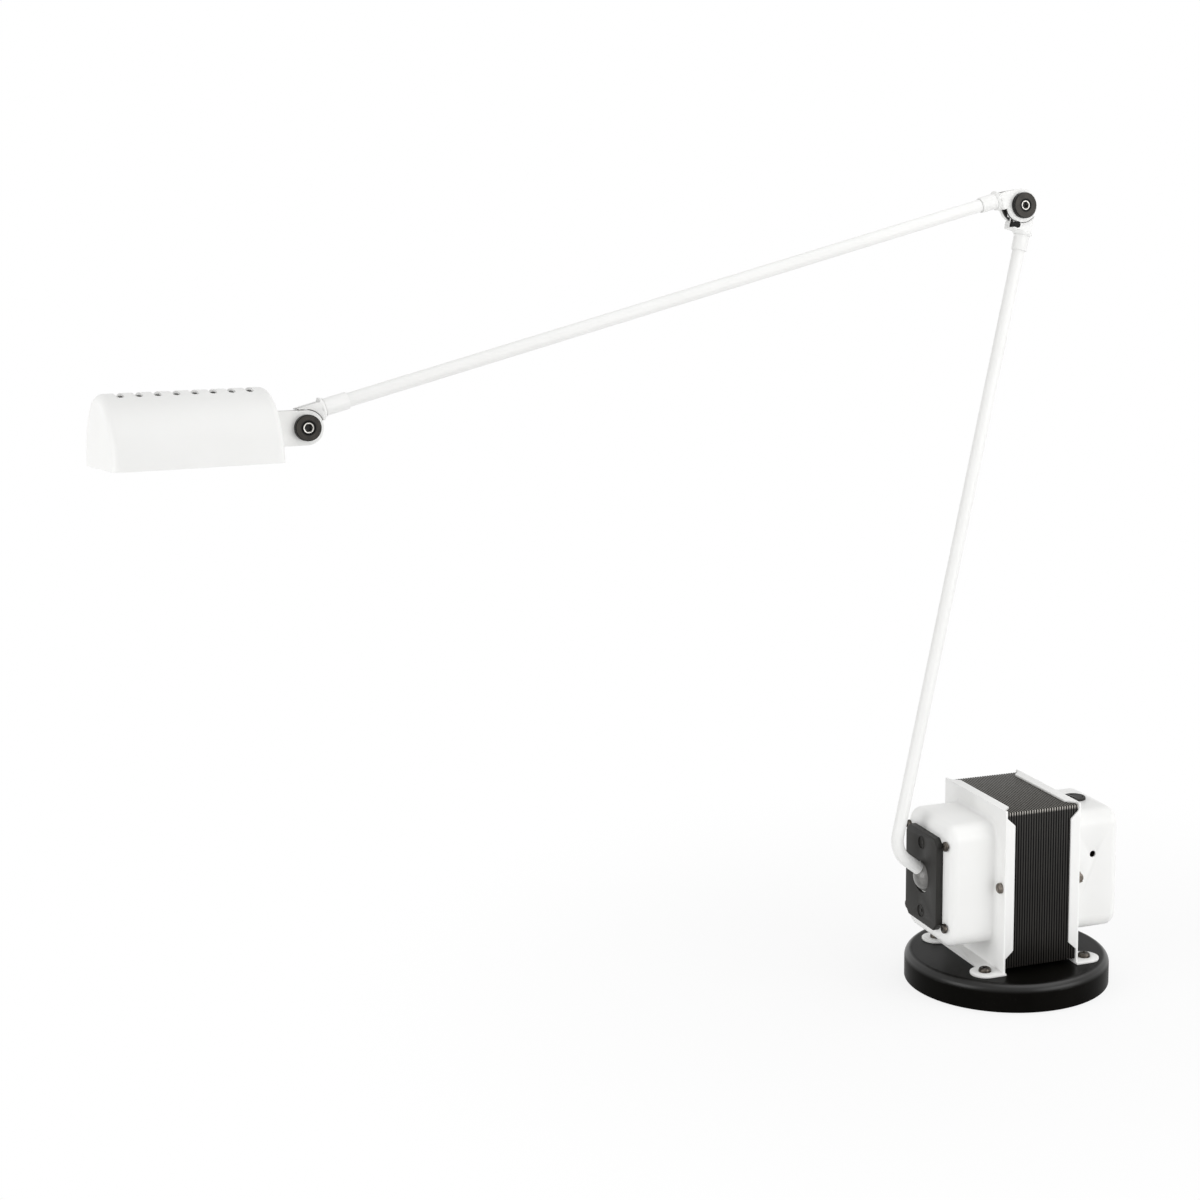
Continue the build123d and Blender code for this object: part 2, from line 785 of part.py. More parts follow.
def make_reflector():
    straight = shade_height - shade_radius
    outer_radius = shade_inner_radius() - reflector_gap
    inner_radius = outer_radius - reflector_wall
    length = shade_length - 2 * shade_wall - 2 * end_gap
    section = arch(outer_radius, straight) - arch(inner_radius, straight)
    liner = Pos(shade_wall + end_gap, 0, 0) * extrude(Plane.YZ * section, length)
    return shade_place() * liner


def lamp_axis_height():
    return shade_drop + lamp_rise


def make_holder():
    face = shade_length - shade_wall
    block = Pos(face - holder_depth / 2, 0, lamp_axis_height()) * Box(holder_depth, holder_width, holder_height)
    block = fillet(block.edges().group_by(Axis.X)[0], holder_round)
    block -= [Pos(face - holder_depth, y, lamp_axis_height()) * extrude(
        Plane.YZ * Circle(lamp_pin_radius + pin_hole_gap), lamp_pin_depth + screw_gap)
        for y in (-pin_spacing / 2, pin_spacing / 2)]
    return shade_place() * block


def make_lamp_glass():
    face = shade_length - shade_wall - holder_depth
    pinch = Pos(face - pinch_length / 2, 0, 0) * Box(pinch_length, pinch_width, pinch_thickness)
    barrel_end = face - pinch_length + pinch_overlap
    barrel_length = lamp_length - pinch_length
    barrel = Pos(barrel_end - barrel_length, 0, 0) * extrude(Plane.YZ * Circle(lamp_radius), barrel_length)
    barrel = fillet(barrel.edges().group_by(Axis.X)[0], lamp_radius - lamp_tip_land)
    barrel = fillet(barrel.edges().group_by(Axis.X)[-1], lamp_shoulder_round)
    return shade_place() * Pos(0, 0, lamp_axis_height()) * (barrel + pinch)


def make_lamp_pins():
    face = shade_length - shade_wall - holder_depth
    pins = [Pos(face, y, lamp_axis_height()) * extrude(Plane.YZ * Circle(lamp_pin_radius), lamp_pin_depth)
            for y in (-pin_spacing / 2, pin_spacing / 2)]
    return shade_place() * Compound(children=pins)


# ------------------------------------------------------ switch and inlet

def switch_centre_x():
    return core_offset + stack_half + switch_x


def pivot_place():
    return Pos(switch_centre_x(), 0, bell_top + bezel_height - rocker_pivot_drop)


def make_bezel():
    flange = Pos(0, 0, bell_top) * extrude(Circle(bezel_radius), bezel_height)
    flange = fillet(flange.edges().group_by(Axis.Z)[-1], bezel_edge_round)
    barrel = Pos(0, 0, bell_top - barrel_length) * extrude(Circle(barrel_radius), barrel_length)
    body = Pos(switch_centre_x(), 0, 0) * (flange + barrel)
    well_floor = bell_top + bezel_height - rocker_well_depth
    well = Pos(switch_centre_x(), 0, well_floor) * extrude(Circle(rocker_well_radius), rocker_well_depth)
    pin_length = rocker_radius + rocker_pin_bite + screw_gap
    bore = pivot_place() * extrude(Plane.XZ * Circle(rocker_pin_radius + running_gap), pin_length, both=True)
    return body - well - bore


def make_rocker():
    # Two slightly dished halves that meet in a low valley over the pivot.
    side = Polygon(
        (-rocker_radius, -rocker_depth), (rocker_radius, -rocker_depth),
        (rocker_radius, rocker_rise), (0, rocker_rise - rocker_dish), (-rocker_radius, rocker_rise), align=None)
    body = extrude(Plane.XZ * side, rocker_radius, both=True)
    round_bar = Pos(0, 0, -rocker_depth) * extrude(Circle(rocker_radius), 2 * rocker_depth + rocker_rise)
    pins = extrude(Plane.XZ * Circle(rocker_pin_radius), rocker_radius + rocker_pin_bite, both=True)
    return pivot_place() * Rot(0, rocker_tilt, 0) * ((body & round_bar) + pins)


def make_inlet():
    inner_end = rear_face_x + inlet_flange - inlet_length
    flange = Pos(rear_face_x, 0, inlet_height) * extrude(Plane.YZ * Circle(inlet_flange_radius), inlet_flange)
    flange = fillet(flange.edges().group_by(Axis.X)[-1], inlet_flange / 2)
    barrel = Pos(inner_end, 0, inlet_height) * extrude(
        Plane.YZ * Circle(inlet_barrel_radius), inlet_length - inlet_flange)
    bore = Pos(inner_end, 0, inlet_height) * extrude(Plane.YZ * Circle(inlet_bore_radius), inlet_length)
    return flange + barrel - bore


# ------------------------------------------------------------ write out

def all_parts():
    return {
        "base_pad": make_base_pad(),
        "base_disc": make_base_disc(),
        "foot_screws": make_foot_screws(),
        "core_laminations": make_core(),
        "coil_bobbin": make_bobbin(),
        "coil_winding": make_winding(),
        "front_bell": make_front_bell(),
        "rear_bell": make_rear_bell(),
        "through_bolts": make_through_bolts(),
        "through_nuts": make_through_nuts(),
        "socket_plate": make_socket_plate(),
        "plate_screws": make_plate_screws(),
        "pressure_cup": make_pressure_cup(),
        "snap_ring": make_snap_ring(),
        "liner_ring": make_liner_ring(),
        "switch_bezel": make_bezel(),
        "switch_rocker": make_rocker(),
        "cord_inlet": make_inlet(),
        "ball": make_ball(),
        "lower_tube": make_lower_tube(),
        "lower_tongue": make_lower_tongue(),
        "elbow_bushings": lower_frame() * bushings(elbow_washer_radius),
        "elbow_stop_pin": lower_frame() * stop_pin_solid(stop_pin_radius),
        "upper_tube": make_upper_tube(),
        "elbow_fork": fork_end() * fork_fitting(elbow_cheek_radius),
        "elbow_discs": at(elbow_point(), upper_arm_angle) * disc_pair(elbow_disc_radius),
        "elbow_screw": at(elbow_point(), upper_arm_angle) * socket_screw(),
        "elbow_nut": at(elbow_point(), upper_arm_angle) * hinge_nut(),
        "head_tongue": make_head_tongue(),
        "head_bushings": upper_frame() * bushings(head_washer_radius),
        "head_bracket": make_bracket(),
        "bracket_screws": make_bracket_screws(),
        "head_discs": head_frame() * disc_pair(head_disc_radius),
        "head_screw": head_frame() * socket_screw(),
        "head_nut": head_frame() * hinge_nut(),
        "shade": make_shade(),
        "reflector": make_reflector(),
        "lamp_holder": make_holder(),
        "lamp_glass": make_lamp_glass(),
        "lamp_pins": make_lamp_pins(),
    }


os.makedirs("parts", exist_ok=True)
for name, shape in all_parts().items():
    shape.label = name
    export_step(shape, os.path.join("parts", name + ".step"))
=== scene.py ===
# %% [markdown]
# # A two-arm desk lamp on a transformer foot
# The lamp's construction is finished already: every casting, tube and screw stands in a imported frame,
# in metres, with the centre of the foot's underside at the origin. This lesson gives it its looks.
# We first load the frame, then build one finish after the other, then model the small things that a
# plain solid leaves out, and at the end set up the studio.

# %% Load the frame
import json
import math
import random

import bmesh
import bpy
from mathutils import Matrix, Vector

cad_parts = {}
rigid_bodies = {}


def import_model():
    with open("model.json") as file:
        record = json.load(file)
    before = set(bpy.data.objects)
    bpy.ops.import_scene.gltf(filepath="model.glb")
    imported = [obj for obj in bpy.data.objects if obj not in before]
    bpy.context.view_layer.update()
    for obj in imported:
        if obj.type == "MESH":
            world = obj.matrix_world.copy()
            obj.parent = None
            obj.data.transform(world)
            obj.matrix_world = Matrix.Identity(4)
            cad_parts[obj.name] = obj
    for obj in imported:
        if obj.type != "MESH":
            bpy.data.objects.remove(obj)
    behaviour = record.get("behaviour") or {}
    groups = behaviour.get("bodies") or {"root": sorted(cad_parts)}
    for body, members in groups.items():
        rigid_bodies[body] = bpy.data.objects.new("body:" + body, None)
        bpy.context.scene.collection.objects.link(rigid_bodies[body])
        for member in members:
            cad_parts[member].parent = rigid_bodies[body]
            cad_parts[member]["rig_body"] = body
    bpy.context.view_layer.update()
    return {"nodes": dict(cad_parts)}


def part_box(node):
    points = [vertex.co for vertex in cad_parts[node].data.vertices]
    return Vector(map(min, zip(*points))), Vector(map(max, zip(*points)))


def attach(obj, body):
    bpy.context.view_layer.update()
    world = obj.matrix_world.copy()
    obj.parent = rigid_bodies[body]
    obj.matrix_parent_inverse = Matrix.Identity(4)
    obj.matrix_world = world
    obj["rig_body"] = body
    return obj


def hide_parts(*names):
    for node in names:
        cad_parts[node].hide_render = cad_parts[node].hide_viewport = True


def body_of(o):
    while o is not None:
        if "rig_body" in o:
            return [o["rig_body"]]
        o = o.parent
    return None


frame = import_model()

nodes = frame["nodes"]
print("nodes in the frame:", len(nodes))

# %% [markdown]
# ## Helpers for node materials
# A finish is a small tree of nodes. We write one helper that starts a material with its Principled
# shader, and one that adds a node and wires it, so that each finish below reads like a recipe.
# All patterns read Object coordinates: every object of this lamp sits at the origin, so these are
# simply metres in the lamp's own frame, and a pattern never slides when an arm moves.

# %% Material helpers
MM = 0.001


class Finish:
    """A material and its node tree, with short words for adding and wiring nodes."""

    def __init__(self, name):
        self.material = bpy.data.materials.new(name)
        self.material.use_nodes = True
        self.tree = self.material.node_tree
        self.shader = self.tree.nodes["Principled BSDF"]
        self.place = self.node("ShaderNodeTexCoord").outputs["Object"]

    def node(self, kind, values=(), **settings):
        made = self.tree.nodes.new(kind)
        for key, value in settings.items():
            setattr(made, key, value)
        for socket, value in dict(values).items():
            if isinstance(value, bpy.types.NodeSocket):
                self.tree.links.new(value, made.inputs[socket])
            else:
                made.inputs[socket].default_value = value
        return made

    def group(self, tree, values):
        return self.node("ShaderNodeGroup", values, node_tree=tree)

    def facing(self):
        """The direction in which the surface looks, in the lamp's own frame."""
        return self.node("ShaderNodeTexCoord").outputs["Normal"]

    def set(self, **plain):
        for key, value in plain.items():
            self.shader.inputs[key.replace("_", " ")].default_value = value

    def wire(self, socket, source):
        self.tree.links.new(source, self.shader.inputs[socket])


def grey(level):
    return (level, level, level, 1.0)


# %% [markdown]
# ## Effects that several finishes share
# Paint, plastic and steel all vary a little from place to place, and all have a fine surface relief.
# Both effects are node groups with named inputs: *mottle* blends two colours with a soft noise and
# also gives the noise as a mask, and *fine_relief* turns a noise into a normal. Each material places
# the groups with its own values, so the recipe is written once.

# %% Shared node groups


def new_group(name, inputs, outputs):
    tree = bpy.data.node_groups.new(name, "ShaderNodeTree")
    for label, kind, value in inputs:
        socket = tree.interface.new_socket(label, in_out="INPUT", socket_type=kind)
        if value is not None:
            socket.default_value = value
    for label, kind in outputs:
        tree.interface.new_socket(label, in_out="OUTPUT", socket_type=kind)
    start = tree.nodes.new("NodeGroupInput")
    end = tree.nodes.new("NodeGroupOutput")
    return tree, start, end


def build_mottle():
    tree, start, end = new_group(
        "mottle",
        [("Place", "NodeSocketVector", None), ("First", "NodeSocketColor", grey(0.5)),
         ("Second", "NodeSocketColor", grey(0.4)), ("Scale", "NodeSocketFloat", 60.0),
         ("Sharpness", "NodeSocketFloat", 0.25)],
        [("Color", "NodeSocketColor"), ("Mask", "NodeSocketFloat")])
    noise = tree.nodes.new("ShaderNodeTexNoise")
    noise.inputs["Detail"].default_value = 5.0
    noise.inputs["Roughness"].default_value = 0.6
    low = tree.nodes.new("ShaderNodeMath")
    low.operation = "SUBTRACT"
    low.inputs[0].default_value = 0.5
    high = tree.nodes.new("ShaderNodeMath")
    high.operation = "ADD"
    high.inputs[0].default_value = 0.5
    ramp = tree.nodes.new("ShaderNodeMapRange")
    mix = tree.nodes.new("ShaderNodeMix")
    mix.data_type = "RGBA"
    link = tree.links.new
    link(start.outputs["Place"], noise.inputs["Vector"])
    link(start.outputs["Scale"], noise.inputs["Scale"])
    link(start.outputs["Sharpness"], low.inputs[1])
    link(start.outputs["Sharpness"], high.inputs[1])
    link(noise.outputs["Fac"], ramp.inputs["Value"])
    link(low.outputs[0], ramp.inputs["From Min"])
    link(high.outputs[0], ramp.inputs["From Max"])
    link(ramp.outputs[0], mix.inputs["Factor"])
    link(start.outputs["First"], mix.inputs["A"])
    link(start.outputs["Second"], mix.inputs["B"])
    link(mix.outputs["Result"], end.inputs["Color"])
    link(ramp.outputs[0], end.inputs["Mask"])
    return tree


def build_relief():
    tree, start, end = new_group(
        "fine_relief",
        [("Place", "NodeSocketVector", None), ("Scale", "NodeSocketFloat", 400.0),
         ("Depth", "NodeSocketFloat", 0.02), ("Detail", "NodeSocketFloat", 3.0)],
        [("Normal", "NodeSocketVector")])
    noise = tree.nodes.new("ShaderNodeTexNoise")
    bump = tree.nodes.new("ShaderNodeBump")
    bump.inputs["Distance"].default_value = 0.1 * MM
    link = tree.links.new
    link(start.outputs["Place"], noise.inputs["Vector"])
    link(start.outputs["Scale"], noise.inputs["Scale"])
    link(start.outputs["Detail"], noise.inputs["Detail"])
    link(start.outputs["Depth"], bump.inputs["Strength"])
    link(noise.outputs["Fac"], bump.inputs["Height"])
    link(bump.outputs["Normal"], end.inputs["Normal"])
    return tree


mottle = build_mottle()
fine_relief = build_relief()
print("shared groups:", mottle.name, fine_relief.name)

# %% [markdown]
# ## White enamel
# The pressed bells, the tubes, the fittings and the shade have one warm white stoving enamel. Thick
# enamel is smooth but not flat: it has a faint orange peel about two millimetres wide, and its gloss
# changes a little with the thickness. A clear coat on top would look like a car, so we keep one
# layer with a medium roughness and let the mottle group move both colour and roughness slightly.

# %% White enamel


def white_paint(finish):
    return finish.group(mottle, {
        "Place": finish.place, "First": (0.86, 0.86, 0.85, 1), "Second": (0.83, 0.83, 0.815, 1),
        "Scale": 22.0, "Sharpness": 0.3})


def orange_peel(finish):
    return finish.group(fine_relief, {"Place": finish.place, "Scale": 420.0, "Depth": 0.12, "Detail": 2.0})


def make_white_enamel():
    finish = Finish("white_enamel")
    tone = white_paint(finish)
    peel = orange_peel(finish)
    gloss = finish.node("ShaderNodeMapRange", {
        "Value": tone.outputs["Mask"], "To Min": 0.36, "To Max": 0.46})
    finish.wire("Base Color", tone.outputs["Color"])
    finish.wire("Roughness", gloss.outputs[0])
    finish.wire("Normal", peel.outputs["Normal"])
    finish.set(Specular_IOR_Level=0.4)
    return finish.material


white_enamel = make_white_enamel()

# %% [markdown]
# ## Black enamel of the foot
# The heavy disc is sprayed satin black. In the picture it is nearly black on its side and shows a
# soft, broad sheen on the rounded rim. The real enamel is probably the same all over, and the lights
# of the picture made that difference. Our lights don't, so the weight of a clear coat follows the
# direction of the surface: none on the side, most on the rim, little on the flat top. To show the
# foot under other lights, give Coat Weight one plain value instead.

# %% Black enamel


def make_black_enamel():
    finish = Finish("black_enamel")
    tone = finish.group(mottle, {
        "Place": finish.place, "First": (0.0022, 0.002, 0.0016, 1), "Second": (0.004, 0.0037, 0.003, 1),
        "Scale": 35.0, "Sharpness": 0.2})
    peel = finish.group(fine_relief, {"Place": finish.place, "Scale": 900.0, "Depth": 0.35, "Detail": 3.0})
    gloss = finish.node("ShaderNodeMapRange", {
        "Value": tone.outputs["Mask"], "To Min": 0.3, "To Max": 0.38})
    finish.wire("Base Color", tone.outputs["Color"])
    finish.wire("Roughness", gloss.outputs[0])
    finish.wire("Normal", peel.outputs["Normal"])
    upward = finish.node("ShaderNodeSeparateXYZ", {"Vector": finish.facing()})
    shine = finish.node("ShaderNodeMapRange", {
        "Value": upward.outputs["Z"], "From Min": 0.05, "From Max": 0.5, "To Min": 0.0, "To Max": 0.75})
    flat = finish.node("ShaderNodeMapRange", {
        "Value": upward.outputs["Z"], "From Min": 0.88, "From Max": 0.99, "To Min": 1.0, "To Max": 0.2})
    shown = finish.node("ShaderNodeMath", {0: shine.outputs[0], 1: flat.outputs[0]}, operation="MULTIPLY")
    finish.wire("Coat Weight", shown.outputs[0])
    finish.set(Specular_IOR_Level=0.02, Coat_Roughness=0.32)
    return finish.material


black_enamel = make_black_enamel()

# %% [markdown]
# ## Lacquered laminations
# The core is a stack of iron sheets under a dark varnish. Its edge grooves are real geometry, so the
# finish adds a slightly different varnish on each sheet and faint brown streaks along it, and it
# paints light and shade in: a lighter top, a painted shadow in the grooves, and painted highlights on
# the rib tops. The sheet's own number comes from the place along X, divided by the pitch and rounded
# down; white noise of that number gives one grey per sheet. The remainder of the same division tells
# how far a point is from the middle of its sheet. The lighter top is painted light, for the light that
# the varnished top reflects; it needs the direction of the surface, which the coordinates' Normal
# output gives. The painted highlights are a narrow band just under the core's upper edge.

# %% Core lacquer
SHEET_PITCH = 1.55 * MM
GROOVE_COUNT = 28
GROOVES_MIDDLE = 1.575 * MM
FIRST_GROOVE = GROOVES_MIDDLE - (GROOVE_COUNT - 1) * SHEET_PITCH / 2
RIDGE_MIDDLE = 0.68
CORE_TOP = 106.8 * MM


def make_core_lacquer():
    finish = Finish("core_lacquer")
    axes = finish.node("ShaderNodeSeparateXYZ", {"Vector": finish.place})
    shifted = finish.node("ShaderNodeMath", {0: axes.outputs["X"], 1: FIRST_GROOVE}, operation="SUBTRACT")
    counted = finish.node("ShaderNodeMath", {0: shifted.outputs[0], 1: SHEET_PITCH}, operation="DIVIDE")
    sheet = finish.node("ShaderNodeMath", {0: counted.outputs[0]}, operation="FLOOR")
    per_sheet = finish.node("ShaderNodeTexWhiteNoise", {"W": sheet.outputs[0]}, noise_dimensions="1D")
    streaks = finish.node("ShaderNodeTexNoise", {
        "Vector": finish.place, "Scale": 45.0, "Detail": 6.0, "Roughness": 0.65})
    amount = finish.node("ShaderNodeMath", {0: per_sheet.outputs["Value"], 1: 0.08}, operation="MULTIPLY")
    blend = finish.node("ShaderNodeMath", {
        0: amount.outputs[0], 1: streaks.outputs["Fac"]}, operation="ADD")
    shown = finish.node("ShaderNodeMapRange", {
        "Value": blend.outputs[0], "From Min": 0.35, "From Max": 0.85})
    varnish = finish.node("ShaderNodeMix", {
        "Factor": shown.outputs[0], "A": (0.0155, 0.0146, 0.013, 1), "B": (0.03, 0.0278, 0.0243, 1)},
        data_type="RGBA")
    upward = finish.node("ShaderNodeSeparateXYZ", {"Vector": finish.facing()})
    # Painted light: faces that look up get a lighter colour, for the light that the varnished top reflects.
    top_light_mask = finish.node("ShaderNodeMapRange", {
        "Value": upward.outputs["Z"], "From Min": 0.2, "From Max": 0.95})
    top_lit = finish.node("ShaderNodeMix", {
        "Factor": top_light_mask.outputs[0], "A": varnish.outputs["Result"], "B": (0.13, 0.122, 0.108, 1)},
        data_type="RGBA")
    share = finish.node("ShaderNodeMath", {0: counted.outputs[0]}, operation="FRACT")
    middle = finish.node("ShaderNodeMath", {0: share.outputs[0], 1: RIDGE_MIDDLE}, operation="SUBTRACT")
    off_middle = finish.node("ShaderNodeMath", {0: middle.outputs[0]}, operation="ABSOLUTE")
    ridge = finish.node("ShaderNodeMapRange", {
        "Value": off_middle.outputs[0], "From Min": 0.14, "From Max": 0.3, "To Min": 1.0, "To Max": 0.0})
    # Painted shade: between the ribs the colour is near black, a painted shadow in the grooves.
    groove_shaded = finish.node("ShaderNodeMix", {
        "Factor": ridge.outputs[0], "A": (0.0022, 0.002, 0.0018, 1), "B": top_lit.outputs["Result"]},
        data_type="RGBA")
    below_edge = finish.node("ShaderNodeMath", {0: CORE_TOP, 1: axes.outputs["Z"]}, operation="SUBTRACT")
    near_edge = finish.node("ShaderNodeMapRange", {
        "Value": below_edge.outputs[0], "From Min": 1.2 * MM, "From Max": 2.4 * MM,
        "To Min": 1.0, "To Max": 0.0})
    not_top = finish.node("ShaderNodeMapRange", {
        "Value": upward.outputs["Z"], "From Min": 0.3, "From Max": 0.7, "To Min": 1.0, "To Max": 0.0})
    # Painted highlight: a lighter band on the rib tops just under the upper edge, on the sides only.
    on_ridge = finish.node("ShaderNodeMath", {
        0: ridge.outputs[0], 1: near_edge.outputs[0]}, operation="MULTIPLY")
    edge_highlight = finish.node("ShaderNodeMath", {
        0: on_ridge.outputs[0], 1: not_top.outputs[0]}, operation="MULTIPLY")
    colour = finish.node("ShaderNodeMix", {
        "Factor": edge_highlight.outputs[0], "A": groove_shaded.outputs["Result"], "B": (0.4, 0.38, 0.35, 1)},
        data_type="RGBA")
    bump = finish.node("ShaderNodeBump", {
        "Height": streaks.outputs["Fac"], "Strength": 0.3, "Distance": 0.1 * MM})
    finish.wire("Base Color", colour.outputs["Result"])
    finish.wire("Normal", bump.outputs["Normal"])
    finish.set(Roughness=0.42, Specular_IOR_Level=0.22)
    return finish.material


core_lacquer = make_core_lacquer()

# %% [markdown]
# ## Black moulded plastic
# The socket plate, the bushings, the switch and the cord inlet are moulded. A spark-eroded mould
# leaves a fine even grain, so this finish has a much finer relief than paint and no colour streaks,
# only a faint dusty lightening.

# %% Moulded plastic


def make_moulded(name, dark, light, relief_scale, relief_depth, rough, shine=0.5):
    finish = Finish(name)
    tone = finish.group(mottle, {
        "Place": finish.place, "First": dark, "Second": light, "Scale": 90.0, "Sharpness": 0.22})
    grain = finish.group(fine_relief, {
        "Place": finish.place, "Scale": relief_scale, "Depth": relief_depth, "Detail": 4.0})
    gloss = finish.node("ShaderNodeMapRange", {
        "Value": tone.outputs["Mask"], "To Min": rough, "To Max": rough + 0.1})
    finish.wire("Base Color", tone.outputs["Color"])
    finish.wire("Roughness", gloss.outputs[0])
    finish.wire("Normal", grain.outputs["Normal"])
    finish.set(Specular_IOR_Level=shine)
    return finish.material


black_plastic = make_moulded(
    "black_plastic", (0.014, 0.0135, 0.012, 1), (0.021, 0.020, 0.018, 1),
    relief_scale=2600.0, relief_depth=0.5, rough=0.5, shine=0.25)
nylon_white = make_moulded(
    "nylon_white", (0.62, 0.62, 0.60, 1), (0.56, 0.56, 0.54, 1),
    relief_scale=1800.0, relief_depth=0.2, rough=0.45)
bobbin_plastic = make_moulded(
    "bobbin_plastic", (0.58, 0.54, 0.43, 1), (0.5, 0.46, 0.36, 1),
    relief_scale=1500.0, relief_depth=0.2, rough=0.5)
foot_rubber = make_moulded(
    "foot_rubber", (0.010, 0.010, 0.010, 1), (0.016, 0.016, 0.015, 1),
    relief_scale=1200.0, relief_depth=0.8, rough=0.75, shine=0.2)

# %% [markdown]
# ## The insulating discs
# A thick black disc surrounds each hinge screw. Its face is grey-brown, and its side and a ring round
# the screw's pocket are painted near black, as painted shade on the side and in the pocket's gap. The
# distance from the hinge's axis tells them apart, and it is the length of the cross product of the axis
# and the vector from the hinge. There are two hinges on parallel axes, so we take the smaller of the
# two distances.

# %% Disc plastic
HINGE_AXIS = (-0.069541, 0.994489, -0.078459)
ELBOW_HINGE = (0.017314, 0.033698, 0.432613)
HEAD_HINGE = (-0.390522, -0.002872, 0.330552)
HEAD_DISC_SHARE = 7.2 / 6.4


def axis_distance(finish, hinge):
    offset = finish.node("ShaderNodeVectorMath", {0: finish.place, 1: hinge}, operation="SUBTRACT")
    across = finish.node("ShaderNodeVectorMath", {
        0: offset.outputs[0], 1: HINGE_AXIS}, operation="CROSS_PRODUCT")
    return finish.node("ShaderNodeVectorMath", {0: across.outputs[0]}, operation="LENGTH").outputs["Value"]


def hinge_reach(finish):
    return finish.node("ShaderNodeMath", {
        0: axis_distance(finish, ELBOW_HINGE), 1: axis_distance(finish, HEAD_HINGE)},
        operation="MINIMUM").outputs[0]


def make_disc_plastic():
    finish = Finish("disc_plastic")
    reach = hinge_reach(finish)
    past_pocket_shade = finish.node("ShaderNodeMapRange", {
        "Value": reach, "From Min": 3.6 * MM, "From Max": 4.1 * MM})
    edge = finish.node("ShaderNodeMath", {
        0: axis_distance(finish, HEAD_HINGE), 1: HEAD_DISC_SHARE}, operation="MULTIPLY")
    rim_reach = finish.node("ShaderNodeMath", {
        0: axis_distance(finish, ELBOW_HINGE), 1: edge.outputs[0]}, operation="MINIMUM")
    inside = finish.node("ShaderNodeMapRange", {
        "Value": rim_reach.outputs[0], "From Min": 6.6 * MM, "From Max": 7.0 * MM,
        "To Min": 1.0, "To Max": 0.0})
    face = finish.node("ShaderNodeMath", {
        0: past_pocket_shade.outputs[0], 1: inside.outputs[0]}, operation="MULTIPLY")
    tone = finish.group(mottle, {
        "Place": finish.place, "First": (0.020, 0.0185, 0.0155, 1), "Second": (0.044, 0.039, 0.033, 1),
        "Scale": 260.0, "Sharpness": 0.2})
    # Painted shade: off the face, on the side and in the ring round the pocket, the colour is near black.
    colour = finish.node("ShaderNodeMix", {
        "Factor": face.outputs[0], "A": (0.003, 0.0028, 0.0024, 1), "B": tone.outputs["Color"]},
        data_type="RGBA")
    grain = finish.group(fine_relief, {
        "Place": finish.place, "Scale": 3200.0, "Depth": 0.35, "Detail": 4.0})
    finish.wire("Base Color", colour.outputs["Result"])
    finish.wire("Normal", grain.outputs["Normal"])
    finish.set(Roughness=0.4, Specular_IOR_Level=0.2)
    return finish.material


disc_plastic = make_disc_plastic()

# %% [markdown]
# ## The hinge screws
# Each hinge screw has a bright turned ring round a deep hexagon socket. The socket and the outer rim,
# which sits in the disc's pocket, are painted near black: painted shade in these hollows. The same
# distance from the axis separates the three.

# %% Hinge screws


def make_hinge_screw():
    finish = Finish("hinge_screw")
    reach = hinge_reach(finish)
    outside_socket = finish.node("ShaderNodeMapRange", {
        "Value": reach, "From Min": 1.85 * MM, "From Max": 2.05 * MM})
    inside_rim = finish.node("ShaderNodeMapRange", {
        "Value": reach, "From Min": 2.45 * MM, "From Max": 2.6 * MM, "To Min": 1.0, "To Max": 0.0})
    bright = finish.node("ShaderNodeMath", {
        0: outside_socket.outputs[0], 1: inside_rim.outputs[0]}, operation="MULTIPLY")
    # Painted shade: outside the bright ring, in the socket and on the rim, the colour is near black.
    colour = finish.node("ShaderNodeMix", {
        "Factor": bright.outputs[0], "A": (0.004, 0.0038, 0.0035, 1), "B": (0.5, 0.49, 0.46, 1)},
        data_type="RGBA")
    scratches = finish.group(fine_relief, {
        "Place": finish.place, "Scale": 4000.0, "Depth": 0.4, "Detail": 2.0})
    finish.wire("Base Color", colour.outputs["Result"])
    finish.wire("Metallic", bright.outputs[0])
    finish.wire("Normal", scratches.outputs["Normal"])
    finish.set(Roughness=0.36, Specular_IOR_Level=0.2)
    return finish.material


hinge_screw = make_hinge_screw()

# %% [markdown]
# ## Enamel on the hinge fittings
# The fittings wear the same enamel, and the faces of the milled slots between their cheeks get a dark
# grey, painted shade in the gaps between the parts.
# A face of such a slot lies near the arm's middle plane and looks straight across it, so the mask is
# the product of the two: the distance along the hinge axis, and the normal's part along that axis.

# %% Fitting enamel
SLOT_HALF = 2.68 * MM


